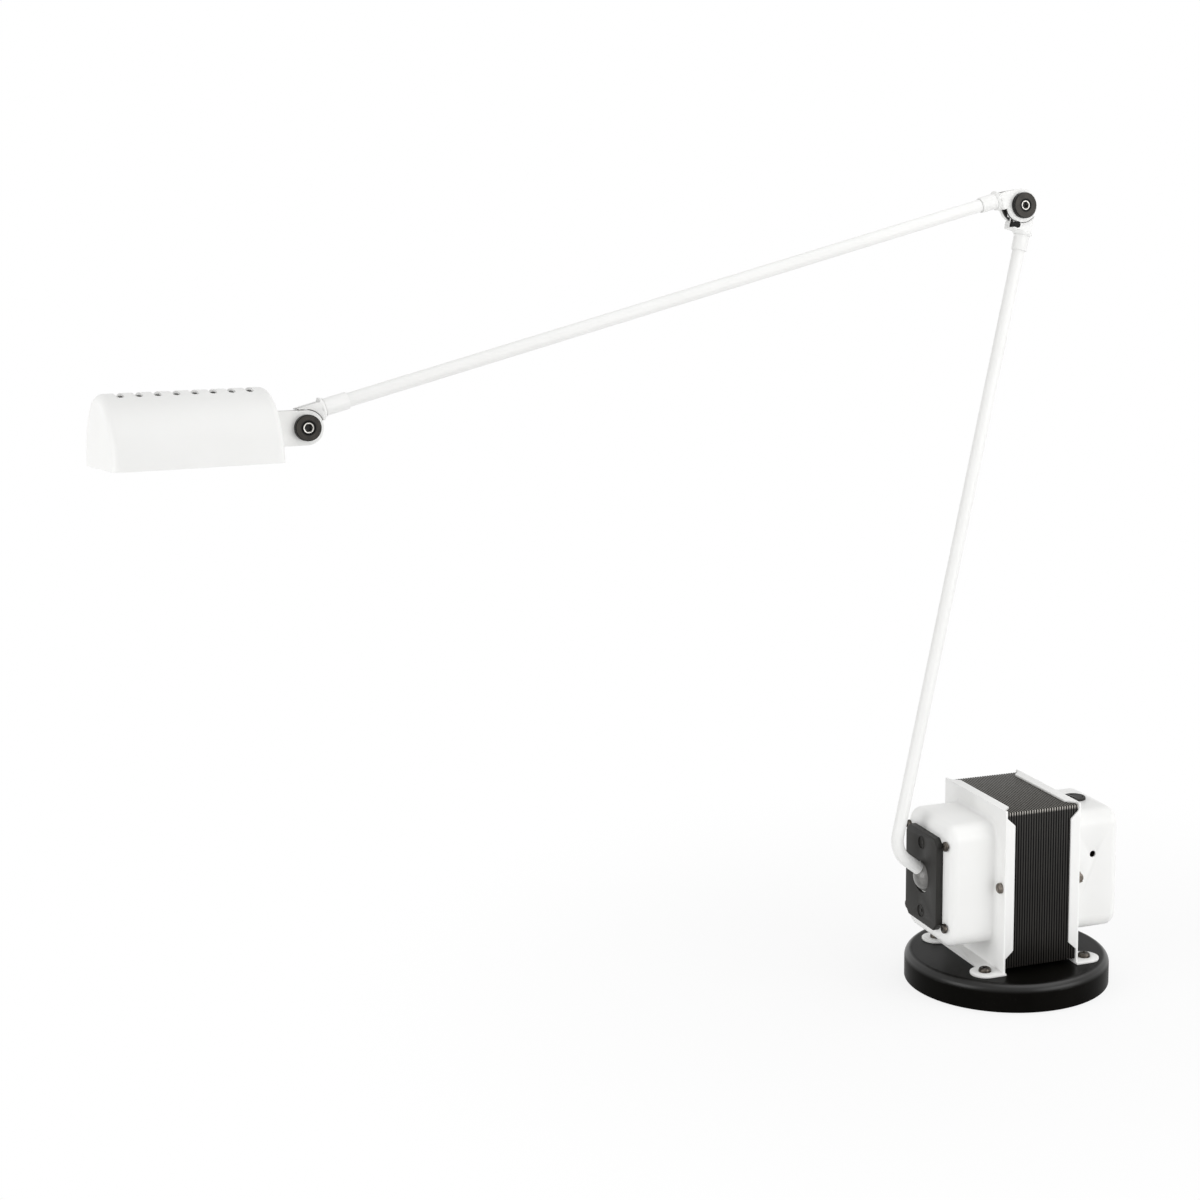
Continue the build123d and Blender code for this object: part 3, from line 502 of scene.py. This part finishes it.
def make_fitting_enamel():
    finish = Finish("fitting_enamel")
    offset = finish.node("ShaderNodeVectorMath", {0: finish.place, 1: ELBOW_HINGE}, operation="SUBTRACT")
    aside = finish.node("ShaderNodeVectorMath", {
        0: offset.outputs[0], 1: HINGE_AXIS}, operation="DOT_PRODUCT")
    distance = finish.node("ShaderNodeMath", {0: aside.outputs["Value"]}, operation="ABSOLUTE")
    in_slot = finish.node("ShaderNodeMapRange", {
        "Value": distance.outputs[0], "From Min": SLOT_HALF, "From Max": 2.75 * MM,
        "To Min": 1.0, "To Max": 0.0})
    facing = finish.node("ShaderNodeVectorMath", {
        0: finish.facing(), 1: HINGE_AXIS}, operation="DOT_PRODUCT")
    straight = finish.node("ShaderNodeMath", {0: facing.outputs["Value"]}, operation="ABSOLUTE")
    across = finish.node("ShaderNodeMapRange", {
        "Value": straight.outputs[0], "From Min": 0.9, "From Max": 0.97})
    # Painted shade: the mask for the slot faces, which get a dark grey in place of the enamel.
    slot_shade = finish.node("ShaderNodeMath", {
        0: in_slot.outputs[0], 1: across.outputs[0]}, operation="MULTIPLY")
    paint = white_paint(finish)
    # The dark grey of the painted shade in the slots.
    metal = finish.group(mottle, {
        "Place": finish.place, "First": (0.085, 0.08, 0.072, 1), "Second": (0.16, 0.15, 0.135, 1),
        "Scale": 500.0, "Sharpness": 0.2})
    colour = finish.node("ShaderNodeMix", {
        "Factor": slot_shade.outputs[0], "A": paint.outputs["Color"], "B": metal.outputs["Color"]},
        data_type="RGBA")
    peel = orange_peel(finish)
    finish.wire("Base Color", colour.outputs["Result"])
    finish.wire("Normal", peel.outputs["Normal"])
    finish.set(Roughness=0.4, Specular_IOR_Level=0.4)
    return finish.material


fitting_enamel = make_fitting_enamel()

# %% [markdown]
# ## Steel parts
# Screws, bolts and nuts come in three kinds: bright zinc-plated ones at the hinges, dull brownish ones
# through the core, and dark oiled ones at the foot and the plate. Turned and plated steel has very
# fine scratches and a soft change of gloss. The dark kind is rubbed bright where a driver has touched
# it, which we get from the same mottle mask with a hard edge.

# %% Steel


def make_steel(name, colour, worn, rough, sharpness):
    finish = Finish(name)
    tone = finish.group(mottle, {
        "Place": finish.place, "First": colour, "Second": worn, "Scale": 700.0, "Sharpness": sharpness})
    scratches = finish.group(fine_relief, {
        "Place": finish.place, "Scale": 5000.0, "Depth": 0.4, "Detail": 2.0})
    gloss = finish.node("ShaderNodeMapRange", {
        "Value": tone.outputs["Mask"], "To Min": rough, "To Max": rough - 0.1})
    finish.wire("Base Color", tone.outputs["Color"])
    finish.wire("Roughness", gloss.outputs[0])
    finish.wire("Normal", scratches.outputs["Normal"])
    finish.set(Metallic=1.0)
    return finish.material


zinc_steel = make_steel(
    "zinc_steel", (0.62, 0.61, 0.58, 1), (0.72, 0.71, 0.69, 1), rough=0.28, sharpness=0.25)
dark_steel = make_steel(
    "dark_steel", (0.022, 0.020, 0.018, 1), (0.12, 0.105, 0.09, 1), rough=0.4, sharpness=0.16)
tarnished_steel = make_steel(
    "tarnished_steel", (0.09, 0.077, 0.064, 1), (0.24, 0.215, 0.19, 1), rough=0.42, sharpness=0.2)

# %% [markdown]
# ## The translucent ball
# The ball in the socket is a cloudy grey plastic: light enters it and comes out again, so its edge
# looks brighter than its middle. Full transmission would make it a glass marble. We mix: a grey body
# colour, a moderate transmission weight and a smooth surface.

# %% Cloudy ball


def make_cloudy_plastic():
    finish = Finish("cloudy_plastic")
    tone = finish.group(mottle, {
        "Place": finish.place, "First": (0.13, 0.128, 0.123, 1), "Second": (0.26, 0.256, 0.245, 1),
        "Scale": 170.0, "Sharpness": 0.18})
    relief = finish.group(fine_relief, {"Place": finish.place, "Scale": 300.0, "Depth": 0.2, "Detail": 2.0})
    finish.wire("Base Color", tone.outputs["Color"])
    finish.wire("Normal", relief.outputs["Normal"])
    finish.set(Roughness=0.25, Transmission_Weight=0.15, IOR=1.5)
    return finish.material


cloudy_plastic = make_cloudy_plastic()

# %% [markdown]
# ## Inside the shade
# The reflector is bright rolled aluminium inside and painted white on its back, the holder is
# unglazed ceramic and the capsule is quartz glass. The glass is thin and clear, so it is fully
# transmissive with a low roughness.

# %% Reflector, ceramic and glass


def make_reflector_finish():
    finish = Finish("rolled_aluminium")
    long_grain = finish.node("ShaderNodeMapping", {"Vector": finish.place})
    long_grain.inputs["Scale"].default_value = (30.0, 900.0, 900.0)
    lines = finish.node("ShaderNodeTexNoise", {
        "Vector": long_grain.outputs[0], "Scale": 1.0, "Detail": 4.0, "Roughness": 0.6})
    bump = finish.node("ShaderNodeBump", {
        "Height": lines.outputs["Fac"], "Strength": 0.15, "Distance": 0.05 * MM})
    gloss = finish.node("ShaderNodeMapRange", {
        "Value": lines.outputs["Fac"], "To Min": 0.22, "To Max": 0.34})
    tone = finish.node("ShaderNodeMix", {
        "Factor": lines.outputs["Fac"], "A": grey(0.82), "B": grey(0.9)}, data_type="RGBA")
    upward = finish.node("ShaderNodeSeparateXYZ", {"Vector": finish.facing()})
    outside = finish.node("ShaderNodeMapRange", {
        "Value": upward.outputs["Z"], "From Min": 0.05, "From Max": 0.15})
    colour = finish.node("ShaderNodeMix", {
        "Factor": outside.outputs[0], "A": tone.outputs["Result"], "B": grey(0.85)}, data_type="RGBA")
    metal = finish.node("ShaderNodeMath", {0: 1.0, 1: outside.outputs[0]}, operation="SUBTRACT")
    finish.wire("Base Color", colour.outputs["Result"])
    finish.wire("Metallic", metal.outputs[0])
    finish.wire("Roughness", gloss.outputs[0])
    finish.wire("Normal", bump.outputs["Normal"])
    return finish.material


def make_glass():
    finish = Finish("quartz_glass")
    waves = finish.group(fine_relief, {"Place": finish.place, "Scale": 150.0, "Depth": 0.3, "Detail": 1.0})
    finish.wire("Normal", waves.outputs["Normal"])
    finish.set(Base_Color=grey(0.97), Roughness=0.02, Transmission_Weight=1.0, IOR=1.46)
    return finish.material


rolled_aluminium = make_reflector_finish()
quartz_glass = make_glass()
ceramic = make_moulded(
    "ceramic", (0.74, 0.71, 0.64, 1), (0.66, 0.63, 0.56, 1),
    relief_scale=900.0, relief_depth=0.4, rough=0.6)

# %% [markdown]
# ## Enamelled copper wire
# The winding hides under the bells. Its turns run round the middle leg, whose axis is Y, so a wave
# along Y at about the wire's pitch gives the turns, in colour and in relief. A wave texture of scale
# one has a little more than three bands in a metre.

# %% Copper wire
WIRE_PITCH = 0.8 * MM
BANDS_PER_METRE = 3.1416


def make_copper_wire():
    finish = Finish("copper_wire")
    turns = finish.node("ShaderNodeTexWave", {
        "Vector": finish.place, "Scale": 1 / WIRE_PITCH / BANDS_PER_METRE, "Distortion": 0.4, "Detail": 1.0},
        wave_type="BANDS", bands_direction="Y")
    colour = finish.node("ShaderNodeMix", {
        "Factor": turns.outputs["Fac"], "A": (0.12, 0.035, 0.012, 1), "B": (0.5, 0.18, 0.06, 1)},
        data_type="RGBA")
    bump = finish.node("ShaderNodeBump", {
        "Height": turns.outputs["Fac"], "Strength": 0.8, "Distance": 0.3 * MM})
    finish.wire("Base Color", colour.outputs["Result"])
    finish.wire("Normal", bump.outputs["Normal"])
    finish.set(Roughness=0.3, Metallic=0.6)
    return finish.material


copper_wire = make_copper_wire()

# %% [markdown]
# ## Dress the frame
# Most nodes have the right shape already, so they only change their material. One table says which
# finish each node wears, and a loop assigns it.

# %% Assign the finishes
wears = {
    white_enamel: ["front_bell", "rear_bell", "lower_tube", "upper_tube", "shade"],
    fitting_enamel: ["lower_tongue", "elbow_fork", "head_tongue", "head_bracket"],
    black_enamel: ["base_disc"],
    foot_rubber: ["base_pad", "elbow_stop_pin"],
    core_lacquer: ["core_laminations"],
    bobbin_plastic: ["coil_bobbin"],
    copper_wire: ["coil_winding"],
    black_plastic: ["socket_plate", "switch_bezel", "switch_rocker", "cord_inlet", "elbow_bushings",
                    "head_bushings"],
    disc_plastic: ["elbow_discs", "head_discs"],
    nylon_white: ["pressure_cup", "liner_ring"],
    cloudy_plastic: ["ball"],
    zinc_steel: ["elbow_nut", "head_nut", "bracket_screws", "lamp_pins"],
    hinge_screw: ["elbow_screw", "head_screw"],
    tarnished_steel: ["through_bolts", "through_nuts"],
    dark_steel: ["foot_screws", "plate_screws", "snap_ring"],
    rolled_aluminium: ["reflector"],
    ceramic: ["lamp_holder"],
    quartz_glass: ["lamp_glass"],
}


def dress(piece, finish):
    piece.data.materials.clear()
    piece.data.materials.append(finish)


for finish, names in wears.items():
    for name in names:
        dress(nodes[name], finish)
print("dressed:", sum(len(names) for names in wears.values()), "of", len(nodes))

# %% [markdown]
# ## Soft edges
# A solid has knife edges, and a knife edge catches no light. Pressed and cast parts have a small
# round everywhere. We take a copy of a node's mesh, merge its loose triangles, join the flat ones,
# and bevel only the edges that turn by more than thirty degrees. Broad faces are shaded flat and
# narrow ones smooth, so that the soft edges don't bend the light on the flats beside them. The copy
# then stands for the node.

# %% Soft copies
SHARP = math.radians(30)
FLAT = math.radians(0.5)
BROAD_FACE = 1.5 * MM


def solid_copy(node_name):
    made = bmesh.new()
    made.from_mesh(nodes[node_name].data)
    bmesh.ops.remove_doubles(made, verts=made.verts, dist=0.001 * MM)
    bmesh.ops.dissolve_limit(made, angle_limit=FLAT, verts=made.verts, edges=made.edges)
    return made


def soften(made, width):
    sharp = [e for e in made.edges if len(e.link_faces) == 2 and e.calc_face_angle() > SHARP]
    bmesh.ops.bevel(made, geom=sharp, offset=width, offset_type="OFFSET", segments=2, profile=0.5,
                    affect="EDGES", clamp_overlap=False, miter_outer="ARC")
    return made


def add_piece(name, made, finish):
    bmesh.ops.recalc_face_normals(made, faces=made.faces)
    for face in made.faces:
        face.smooth = face.calc_area() < BROAD_FACE * face.calc_perimeter()
    mesh = bpy.data.meshes.new(name)
    made.to_mesh(mesh)
    made.free()
    mesh.set_sharp_from_angle(angle=SHARP)
    mesh.materials.append(finish)
    piece = bpy.data.objects.new(name, mesh)
    bpy.context.scene.collection.objects.link(piece)
    return piece


def stand_for(piece, node_name):
    """The piece moves with the node's body and is shown in its place."""
    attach(piece, body_of(nodes[node_name])[0])
    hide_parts(node_name)
    return piece


def soft_copy(node_name, width, finish):
    piece = add_piece(node_name + "_soft", soften(solid_copy(node_name), width * MM), finish)
    return stand_for(piece, node_name)


soft_pieces = [
    soft_copy("front_bell", 0.22, white_enamel),
    soft_copy("rear_bell", 0.22, white_enamel),
    soft_copy("elbow_fork", 0.35, fitting_enamel),
    soft_copy("head_tongue", 0.25, fitting_enamel),
    soft_copy("head_bracket", 0.35, fitting_enamel),
    soft_copy("core_laminations", 0.18, core_lacquer),
    soft_copy("elbow_screw", 0.12, hinge_screw),
    soft_copy("head_screw", 0.12, hinge_screw),
]
for piece in soft_pieces:
    print(piece.name, len(piece.data.polygons), "faces")

# %% [markdown]
# ## Recesses for the driver
# The foot and plate screws have a cross recess and the through bolts a slot. We carve them with a
# Boolean modifier out of a merged copy, with small blocks as cutters, and keep the result as a plain
# mesh. Every screw was turned home by hand, so each recess gets its own angle from a seeded random
# generator. The heads' places come from the node's own box: the heads sit in its corners or at its
# ends. A cross has a shorter, wider and deeper hub, which is given in shares of its arms.

# %% Carving
turns = random.Random(7)
HUB_LENGTH = 0.55
HUB_WIDTH = 1.5
HUB_DEPTH = 2.4


def block(made, size, place):
    """A box in made, of this size, centred at this place (a matrix)."""
    scale = Matrix.Diagonal((*size, 1.0))
    bmesh.ops.create_cube(made, size=1.0, matrix=place @ scale)


def carve(made, cutter):
    things = []
    for label, source in (("carved", made), ("cutter", cutter)):
        mesh = bpy.data.meshes.new(label)
        source.to_mesh(mesh)
        source.free()
        things.append(bpy.data.objects.new(label, mesh))
        bpy.context.scene.collection.objects.link(things[-1])
    cut = things[0].modifiers.new("cut", "BOOLEAN")
    cut.operation = "DIFFERENCE"
    cut.solver = "EXACT"
    cut.use_self = True
    cut.object = things[1]
    bpy.context.view_layer.update()
    shown = things[0].evaluated_get(bpy.context.evaluated_depsgraph_get())
    result = bmesh.new()
    result.from_mesh(shown.to_mesh())
    shown.to_mesh_clear()
    for thing in things:
        mesh = thing.data
        bpy.data.objects.remove(thing)
        bpy.data.meshes.remove(mesh)
    return result


def cross_cutters(heads, outward, width, length, depth):
    """Two crossed blocks let into each head. The heads look along outward (a rotation matrix)."""
    cutter = bmesh.new()
    for head in heads:
        spin = Matrix.Rotation(turns.uniform(0, math.pi / 2), 4, "Z")
        place = Matrix.Translation(head) @ outward.to_4x4() @ spin
        for quarter in (0, math.pi / 2):
            arm = place @ Matrix.Rotation(quarter, 4, "Z")
            block(cutter, (length, width, 2 * depth), arm)
            block(cutter, (length * HUB_LENGTH, width * HUB_WIDTH, HUB_DEPTH * depth), arm)
    return cutter


UPWARD = Matrix.Identity(3)
FORWARD = Matrix.Rotation(-math.pi / 2, 3, "Y")


def carve_foot_screws():
    low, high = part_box("foot_screws")
    head_radius = 3.5 * MM
    heads = [(x, y, high[2]) for x in (low[0] + head_radius, high[0] - head_radius)
             for y in (low[1] + head_radius, high[1] - head_radius)]
    cutter = cross_cutters(heads, UPWARD, width=0.75 * MM, length=4.2 * MM, depth=1.3 * MM)
    piece = add_piece("foot_screws_crossed", carve(solid_copy("foot_screws"), cutter), dark_steel)
    return stand_for(piece, "foot_screws")


def carve_plate_screws():
    low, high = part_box("plate_screws")
    head_radius = 2.7 * MM
    heads = [(low[0], y, z) for y in (low[1] + head_radius, high[1] - head_radius)
             for z in (low[2] + head_radius, high[2] - head_radius)]
    cutter = cross_cutters(heads, FORWARD, width=0.6 * MM, length=3.2 * MM, depth=1.0 * MM)
    piece = add_piece("plate_screws_crossed", carve(solid_copy("plate_screws"), cutter), dark_steel)
    return stand_for(piece, "plate_screws")


def carve_through_bolts():
    low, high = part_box("through_bolts")
    head_radius = 2.9 * MM
    slot_width = 0.8 * MM
    slot_depth = 1.0 * MM
    cutter = bmesh.new()
    for y in (low[1] + head_radius, high[1] - head_radius):
        tilt = Matrix.Rotation(turns.uniform(-0.5, 0.5), 4, "X")
        place = Matrix.Translation((low[0], y, (low[2] + high[2]) / 2)) @ tilt
        block(cutter, (2 * slot_depth, slot_width, 3 * head_radius), place)
    piece = add_piece("through_bolts_slotted", carve(solid_copy("through_bolts"), cutter), tarnished_steel)
    return stand_for(piece, "through_bolts")


# %% [markdown]
# ## The open notch at the elbow
# The black stop pin stands in a notch on the fitting's near half, with only a thin lip of the block
# left under it. We cut that notch out of the lower fitting before its edges are softened. The
# cutters are placed in the arm's own plane: down along the lower arm, and back across it. How deep
# the real notch goes can't be seen; half of the width is our choice, and it suits the picture.

# %% Elbow notch
ALONG = Vector((0.997564, 0.069756, 0.0))
ACROSS = Vector(HINGE_AXIS)
UP_PLANE = ALONG.cross(ACROSS)
LOWER_ANGLE = math.radians(74.64)
DOWN_ARM = -(ALONG * math.cos(LOWER_ANGLE) + UP_PLANE * math.sin(LOWER_ANGLE))
BACK_ARM = ALONG * math.sin(LOWER_ANGLE) - UP_PLANE * math.cos(LOWER_ANGLE)


def lower_matrix(down, back, aside=0.0):
    """Place in the lower fitting, in millimetres: down the arm from the hinge, back, along the axis."""
    spot = Vector(ELBOW_HINGE) + (DOWN_ARM * down + BACK_ARM * back + ACROSS * aside) * MM
    return Matrix.Translation(spot) @ Matrix((DOWN_ARM, ACROSS, BACK_ARM)).transposed().to_4x4()


def carve_lower_tongue():
    notch_length, notch_depth = 7.7 * MM, 4.0 * MM
    front_length, front_depth = 9.0 * MM, 2.0 * MM
    cutter_width = 12.0 * MM
    cutter = bmesh.new()
    block(cutter, (notch_length, cutter_width, notch_depth), lower_matrix(down=8.95, back=-2.8, aside=-6.0))
    block(cutter, (front_length, cutter_width, front_depth), lower_matrix(down=12.0, back=-3.7))
    made = carve(solid_copy("lower_tongue"), cutter)
    bmesh.ops.dissolve_limit(made, angle_limit=FLAT, verts=made.verts, edges=made.edges)
    piece = add_piece("lower_tongue_notched", soften(made, 0.25 * MM), fitting_enamel)
    return stand_for(piece, "lower_tongue")


notched = carve_lower_tongue()
print(notched.name, len(notched.data.polygons), "faces")

# %% [markdown]
# ## Carve the screws
# The three carvers run in a fixed order, because each draws its angles from the same generator. The
# printed heights tell whether the heads are still whole.

# %% Carve the screws
for piece in (carve_foot_screws(), carve_plate_screws(), carve_through_bolts()):
    heights = [vertex.co.z / MM for vertex in piece.data.vertices]
    print(piece.name, len(piece.data.polygons), "faces,",
          "z", round(min(heights), 1), "to", round(max(heights), 1))

# %% [markdown]
# ## The socket plate
# The moulded plate gets soft edges, and a thin raised ring round each of its two round marks. The
# lower mark has a small pip in its middle, the upper one a second, smaller ring. A ring is a small
# circle that is spun once round the mark's axis, which is the X axis through the mark.

# %% Plate marks
PLATE_FACE = -54.5 * MM
UPPER_MARK = 84.2 * MM
LOWER_MARK = 45.2 * MM
OUTER_RING = 3.5 * MM
INNER_RING = 1.7 * MM
RING_THICKNESS = 0.45 * MM
INNER_RING_DEPTH = 0.5 * MM
PIP_DEPTH = 0.35 * MM


def spin_ring(made, centre, radius, thickness):
    """A ring of round section about the X axis through centre."""
    start = Matrix.Translation(Vector(centre) + Vector((0, radius, 0)))
    section = bmesh.ops.create_circle(made, segments=10, radius=thickness / 2, matrix=start)
    bmesh.ops.spin(made, geom=section["verts"] + list({e for v in section["verts"] for e in v.link_edges}),
                   cent=centre, axis=(1, 0, 0), angle=2 * math.pi, steps=48, use_merge=True)


def add_plate_marks():
    made = bmesh.new()
    for height, radius, depth in ((UPPER_MARK, OUTER_RING, 0.0), (UPPER_MARK, INNER_RING, INNER_RING_DEPTH),
                                  (LOWER_MARK, OUTER_RING, 0.0)):
        spin_ring(made, (PLATE_FACE + depth, 0, height), radius, RING_THICKNESS)
    lying = Matrix.Rotation(math.pi / 2, 4, "Y")
    place = Matrix.Translation((PLATE_FACE + PIP_DEPTH, 0, LOWER_MARK)) @ lying
    bmesh.ops.create_cone(made, cap_ends=True, segments=24, radius1=1.0 * MM, radius2=0.8 * MM,
                          depth=0.5 * MM, matrix=place)
    piece = add_piece("plate_marks", made, black_plastic)
    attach(piece, "base")
    return piece


plate = soft_copy("socket_plate", 0.2, black_plastic)
marks = add_plate_marks()
print(plate.name, "and", marks.name, "with", len(marks.data.polygons), "faces")

# %% [markdown]
# ## Inside the capsule
# The halogen capsule holds a coiled filament between two support wires, and a strip of foil in its
# pinch. The coil is a tiny circle spun nine times round while it advances along the coil's axis. All
# of it is placed in the head's own directions: along the shade, across it, and up.

# %% Filament
HOLDER_REACH = 31.3
HOLDER_RISE = 7.6
LAMP_BASE = Vector(HEAD_HINGE) + (ALONG * -HOLDER_REACH + UP_PLANE * HOLDER_RISE) * MM


def lamp_matrix(along, across, up):
    """Place in the lamp: along its axis from the holder's face, across it, and up, in millimetres."""
    spot = LAMP_BASE + (ALONG * -along + ACROSS * across + UP_PLANE * up) * MM
    turned = Matrix((ALONG, ACROSS, UP_PLANE)).transposed().to_4x4()
    return Matrix.Translation(spot) @ turned


def add_filament():
    made = bmesh.new()
    turn_count = 9
    steps = 18 * turn_count
    pitch = 0.55
    half_coil = turn_count * pitch / 2
    middle = 18.0
    coil_radius, wire_radius, support_radius = 0.75 * MM, 0.11 * MM, 0.18 * MM
    support_length = 10.0
    foil_size = (5.0 * MM, 2.0 * MM, 0.08 * MM)
    start = lamp_matrix(middle, -half_coil, 0) @ Matrix.Translation((coil_radius, 0, 0))
    centre = lamp_matrix(middle, -half_coil, 0).translation
    section = bmesh.ops.create_circle(made, segments=6, radius=wire_radius, matrix=start)
    bmesh.ops.spin(made, geom=section["verts"] + list({e for v in section["verts"] for e in v.link_edges}),
                   cent=centre, axis=ACROSS, dvec=ACROSS * (pitch * MM * turn_count / steps),
                   angle=2 * math.pi * turn_count, steps=steps)
    for side in (-1, 1):
        end = lamp_matrix(middle - support_length / 2, side * half_coil, 0)
        bmesh.ops.create_cone(made, cap_ends=True, segments=8, radius1=support_radius,
                              radius2=support_radius, depth=support_length * MM,
                              matrix=end @ Matrix.Rotation(math.pi / 2, 4, "Y"))
        block(made, foil_size, lamp_matrix(along=4.5, across=side * 2.2, up=0))
    piece = add_piece("lamp_filament", made, zinc_steel)
    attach(piece, "head")
    return piece


filament = add_filament()
print(filament.name, len(filament.data.polygons), "faces")

# %% [markdown]
# ## The studio
# The picture is a product shot on white: a pale floor that vanishes into the background, broad soft
# light from above, from the left and from the front, and nothing that casts a hard shadow. Floor
# and room are white to the camera, to reflections and through glass, while the light that they throw
# on the lamp is that of a grey room, so the white parts keep their shading. Near the foot the floor
# keeps a part of its own shading, so that the lamp's shadow grounds it, and further out it fades
# into the white.

# %% Camera
CAMERA_PLACE = Vector((-607.5, -1103.0, 470.1)) * MM
CAMERA_RIGHT = Vector((0.923879, -0.382665, 0.003895))
CAMERA_UP = Vector((0.045816, 0.120709, 0.991630))
LENS = 69.0
SENSOR = 36.0
SHIFT = (-0.1359, -0.1363)


def add_camera():
    data = bpy.data.cameras.new("camera")
    data.lens = LENS
    data.sensor_width = SENSOR
    data.shift_x, data.shift_y = SHIFT
    data.clip_start = 0.05
    camera = bpy.data.objects.new("camera", data)
    back = CAMERA_RIGHT.cross(CAMERA_UP)
    turned = Matrix((CAMERA_RIGHT, CAMERA_UP, back)).transposed().to_4x4()
    camera.matrix_world = Matrix.Translation(CAMERA_PLACE) @ turned
    bpy.context.scene.collection.objects.link(camera)
    bpy.context.scene.camera = camera


add_camera()

# %% Floor


def make_floor_finish():
    finish = Finish("studio_floor")
    output = finish.tree.nodes["Material Output"]
    finish.set(Base_Color=grey(0.9), Roughness=0.9, Specular_IOR_Level=0.1)
    glow = finish.node("ShaderNodeEmission", {"Color": grey(1.0), "Strength": 1.0})
    path = finish.node("ShaderNodeLightPath")
    direct = finish.node("ShaderNodeMath", {
        0: path.outputs["Is Camera Ray"], 1: path.outputs["Is Glossy Ray"]}, operation="MAXIMUM")
    either = finish.node("ShaderNodeMath", {
        0: direct.outputs[0], 1: path.outputs["Is Transmission Ray"]}, operation="MAXIMUM")
    distance = finish.node("ShaderNodeVectorMath", {0: finish.place}, operation="LENGTH")
    whiteness = finish.node("ShaderNodeMapRange", {
        "Value": distance.outputs["Value"], "From Min": 0.08, "From Max": 0.4,
        "To Min": 0.82, "To Max": 1.0}, interpolation_type="SMOOTHSTEP")
    seen = finish.node("ShaderNodeMath", {
        0: either.outputs[0], 1: whiteness.outputs[0]}, operation="MULTIPLY")
    mix = finish.node("ShaderNodeMixShader", {"Fac": seen.outputs[0]})
    finish.tree.links.new(finish.shader.outputs[0], mix.inputs[1])
    finish.tree.links.new(glow.outputs[0], mix.inputs[2])
    finish.tree.links.new(mix.outputs[0], output.inputs["Surface"])
    return finish.material


def add_floor():
    mesh = bpy.data.meshes.new("studio_floor")
    made = bmesh.new()
    bmesh.ops.create_circle(made, cap_ends=True, segments=64, radius=6.0)
    made.to_mesh(mesh)
    made.free()
    floor = bpy.data.objects.new("studio_floor", mesh)
    bpy.context.scene.collection.objects.link(floor)
    mesh.materials.append(make_floor_finish())


add_floor()

# %% Light


def add_soft_box(name, place, aim, size, power):
    data = bpy.data.lights.new(name, "AREA")
    data.shape = "RECTANGLE"
    data.size, data.size_y = size
    data.energy = power
    light = bpy.data.objects.new(name, data)
    light.location = place
    light.rotation_euler = (Vector(aim) - Vector(place)).to_track_quat("-Z", "Y").to_euler()
    bpy.context.scene.collection.objects.link(light)


LAMP_MIDDLE = (-0.15, 0.0, 0.2)
add_soft_box("top_box", (0.4, -0.2, 1.5), LAMP_MIDDLE, size=(1.6, 1.4), power=9.5)
add_soft_box("left_box", (-2.0, -0.4, 0.6), LAMP_MIDDLE, size=(1.2, 1.2), power=15.0)
add_soft_box("front_box", (0.7, -1.2, 0.45), LAMP_MIDDLE, size=(1.3, 0.9), power=9.0)


def make_world():
    world = bpy.data.worlds.new("studio")
    bpy.context.scene.world = world
    world.use_nodes = True
    tree = world.node_tree
    room = tree.nodes["Background"]
    room.inputs["Color"].default_value = grey(1.0)
    room.inputs["Strength"].default_value = 0.45
    white = tree.nodes.new("ShaderNodeBackground")
    white.inputs["Color"].default_value = grey(1.0)
    white.inputs["Strength"].default_value = 1.0
    path = tree.nodes.new("ShaderNodeLightPath")
    direct = tree.nodes.new("ShaderNodeMath")
    direct.operation = "MAXIMUM"
    either = tree.nodes.new("ShaderNodeMath")
    either.operation = "MAXIMUM"
    mix = tree.nodes.new("ShaderNodeMixShader")
    output = tree.nodes["World Output"]
    tree.links.new(path.outputs["Is Camera Ray"], direct.inputs[0])
    tree.links.new(path.outputs["Is Glossy Ray"], direct.inputs[1])
    tree.links.new(direct.outputs[0], either.inputs[0])
    tree.links.new(path.outputs["Is Transmission Ray"], either.inputs[1])
    tree.links.new(either.outputs[0], mix.inputs["Fac"])
    tree.links.new(room.outputs[0], mix.inputs[1])
    tree.links.new(white.outputs[0], mix.inputs[2])
    tree.links.new(mix.outputs[0], output.inputs["Surface"])


make_world()

# %% View settings
bpy.context.scene.view_settings.view_transform = "Standard"
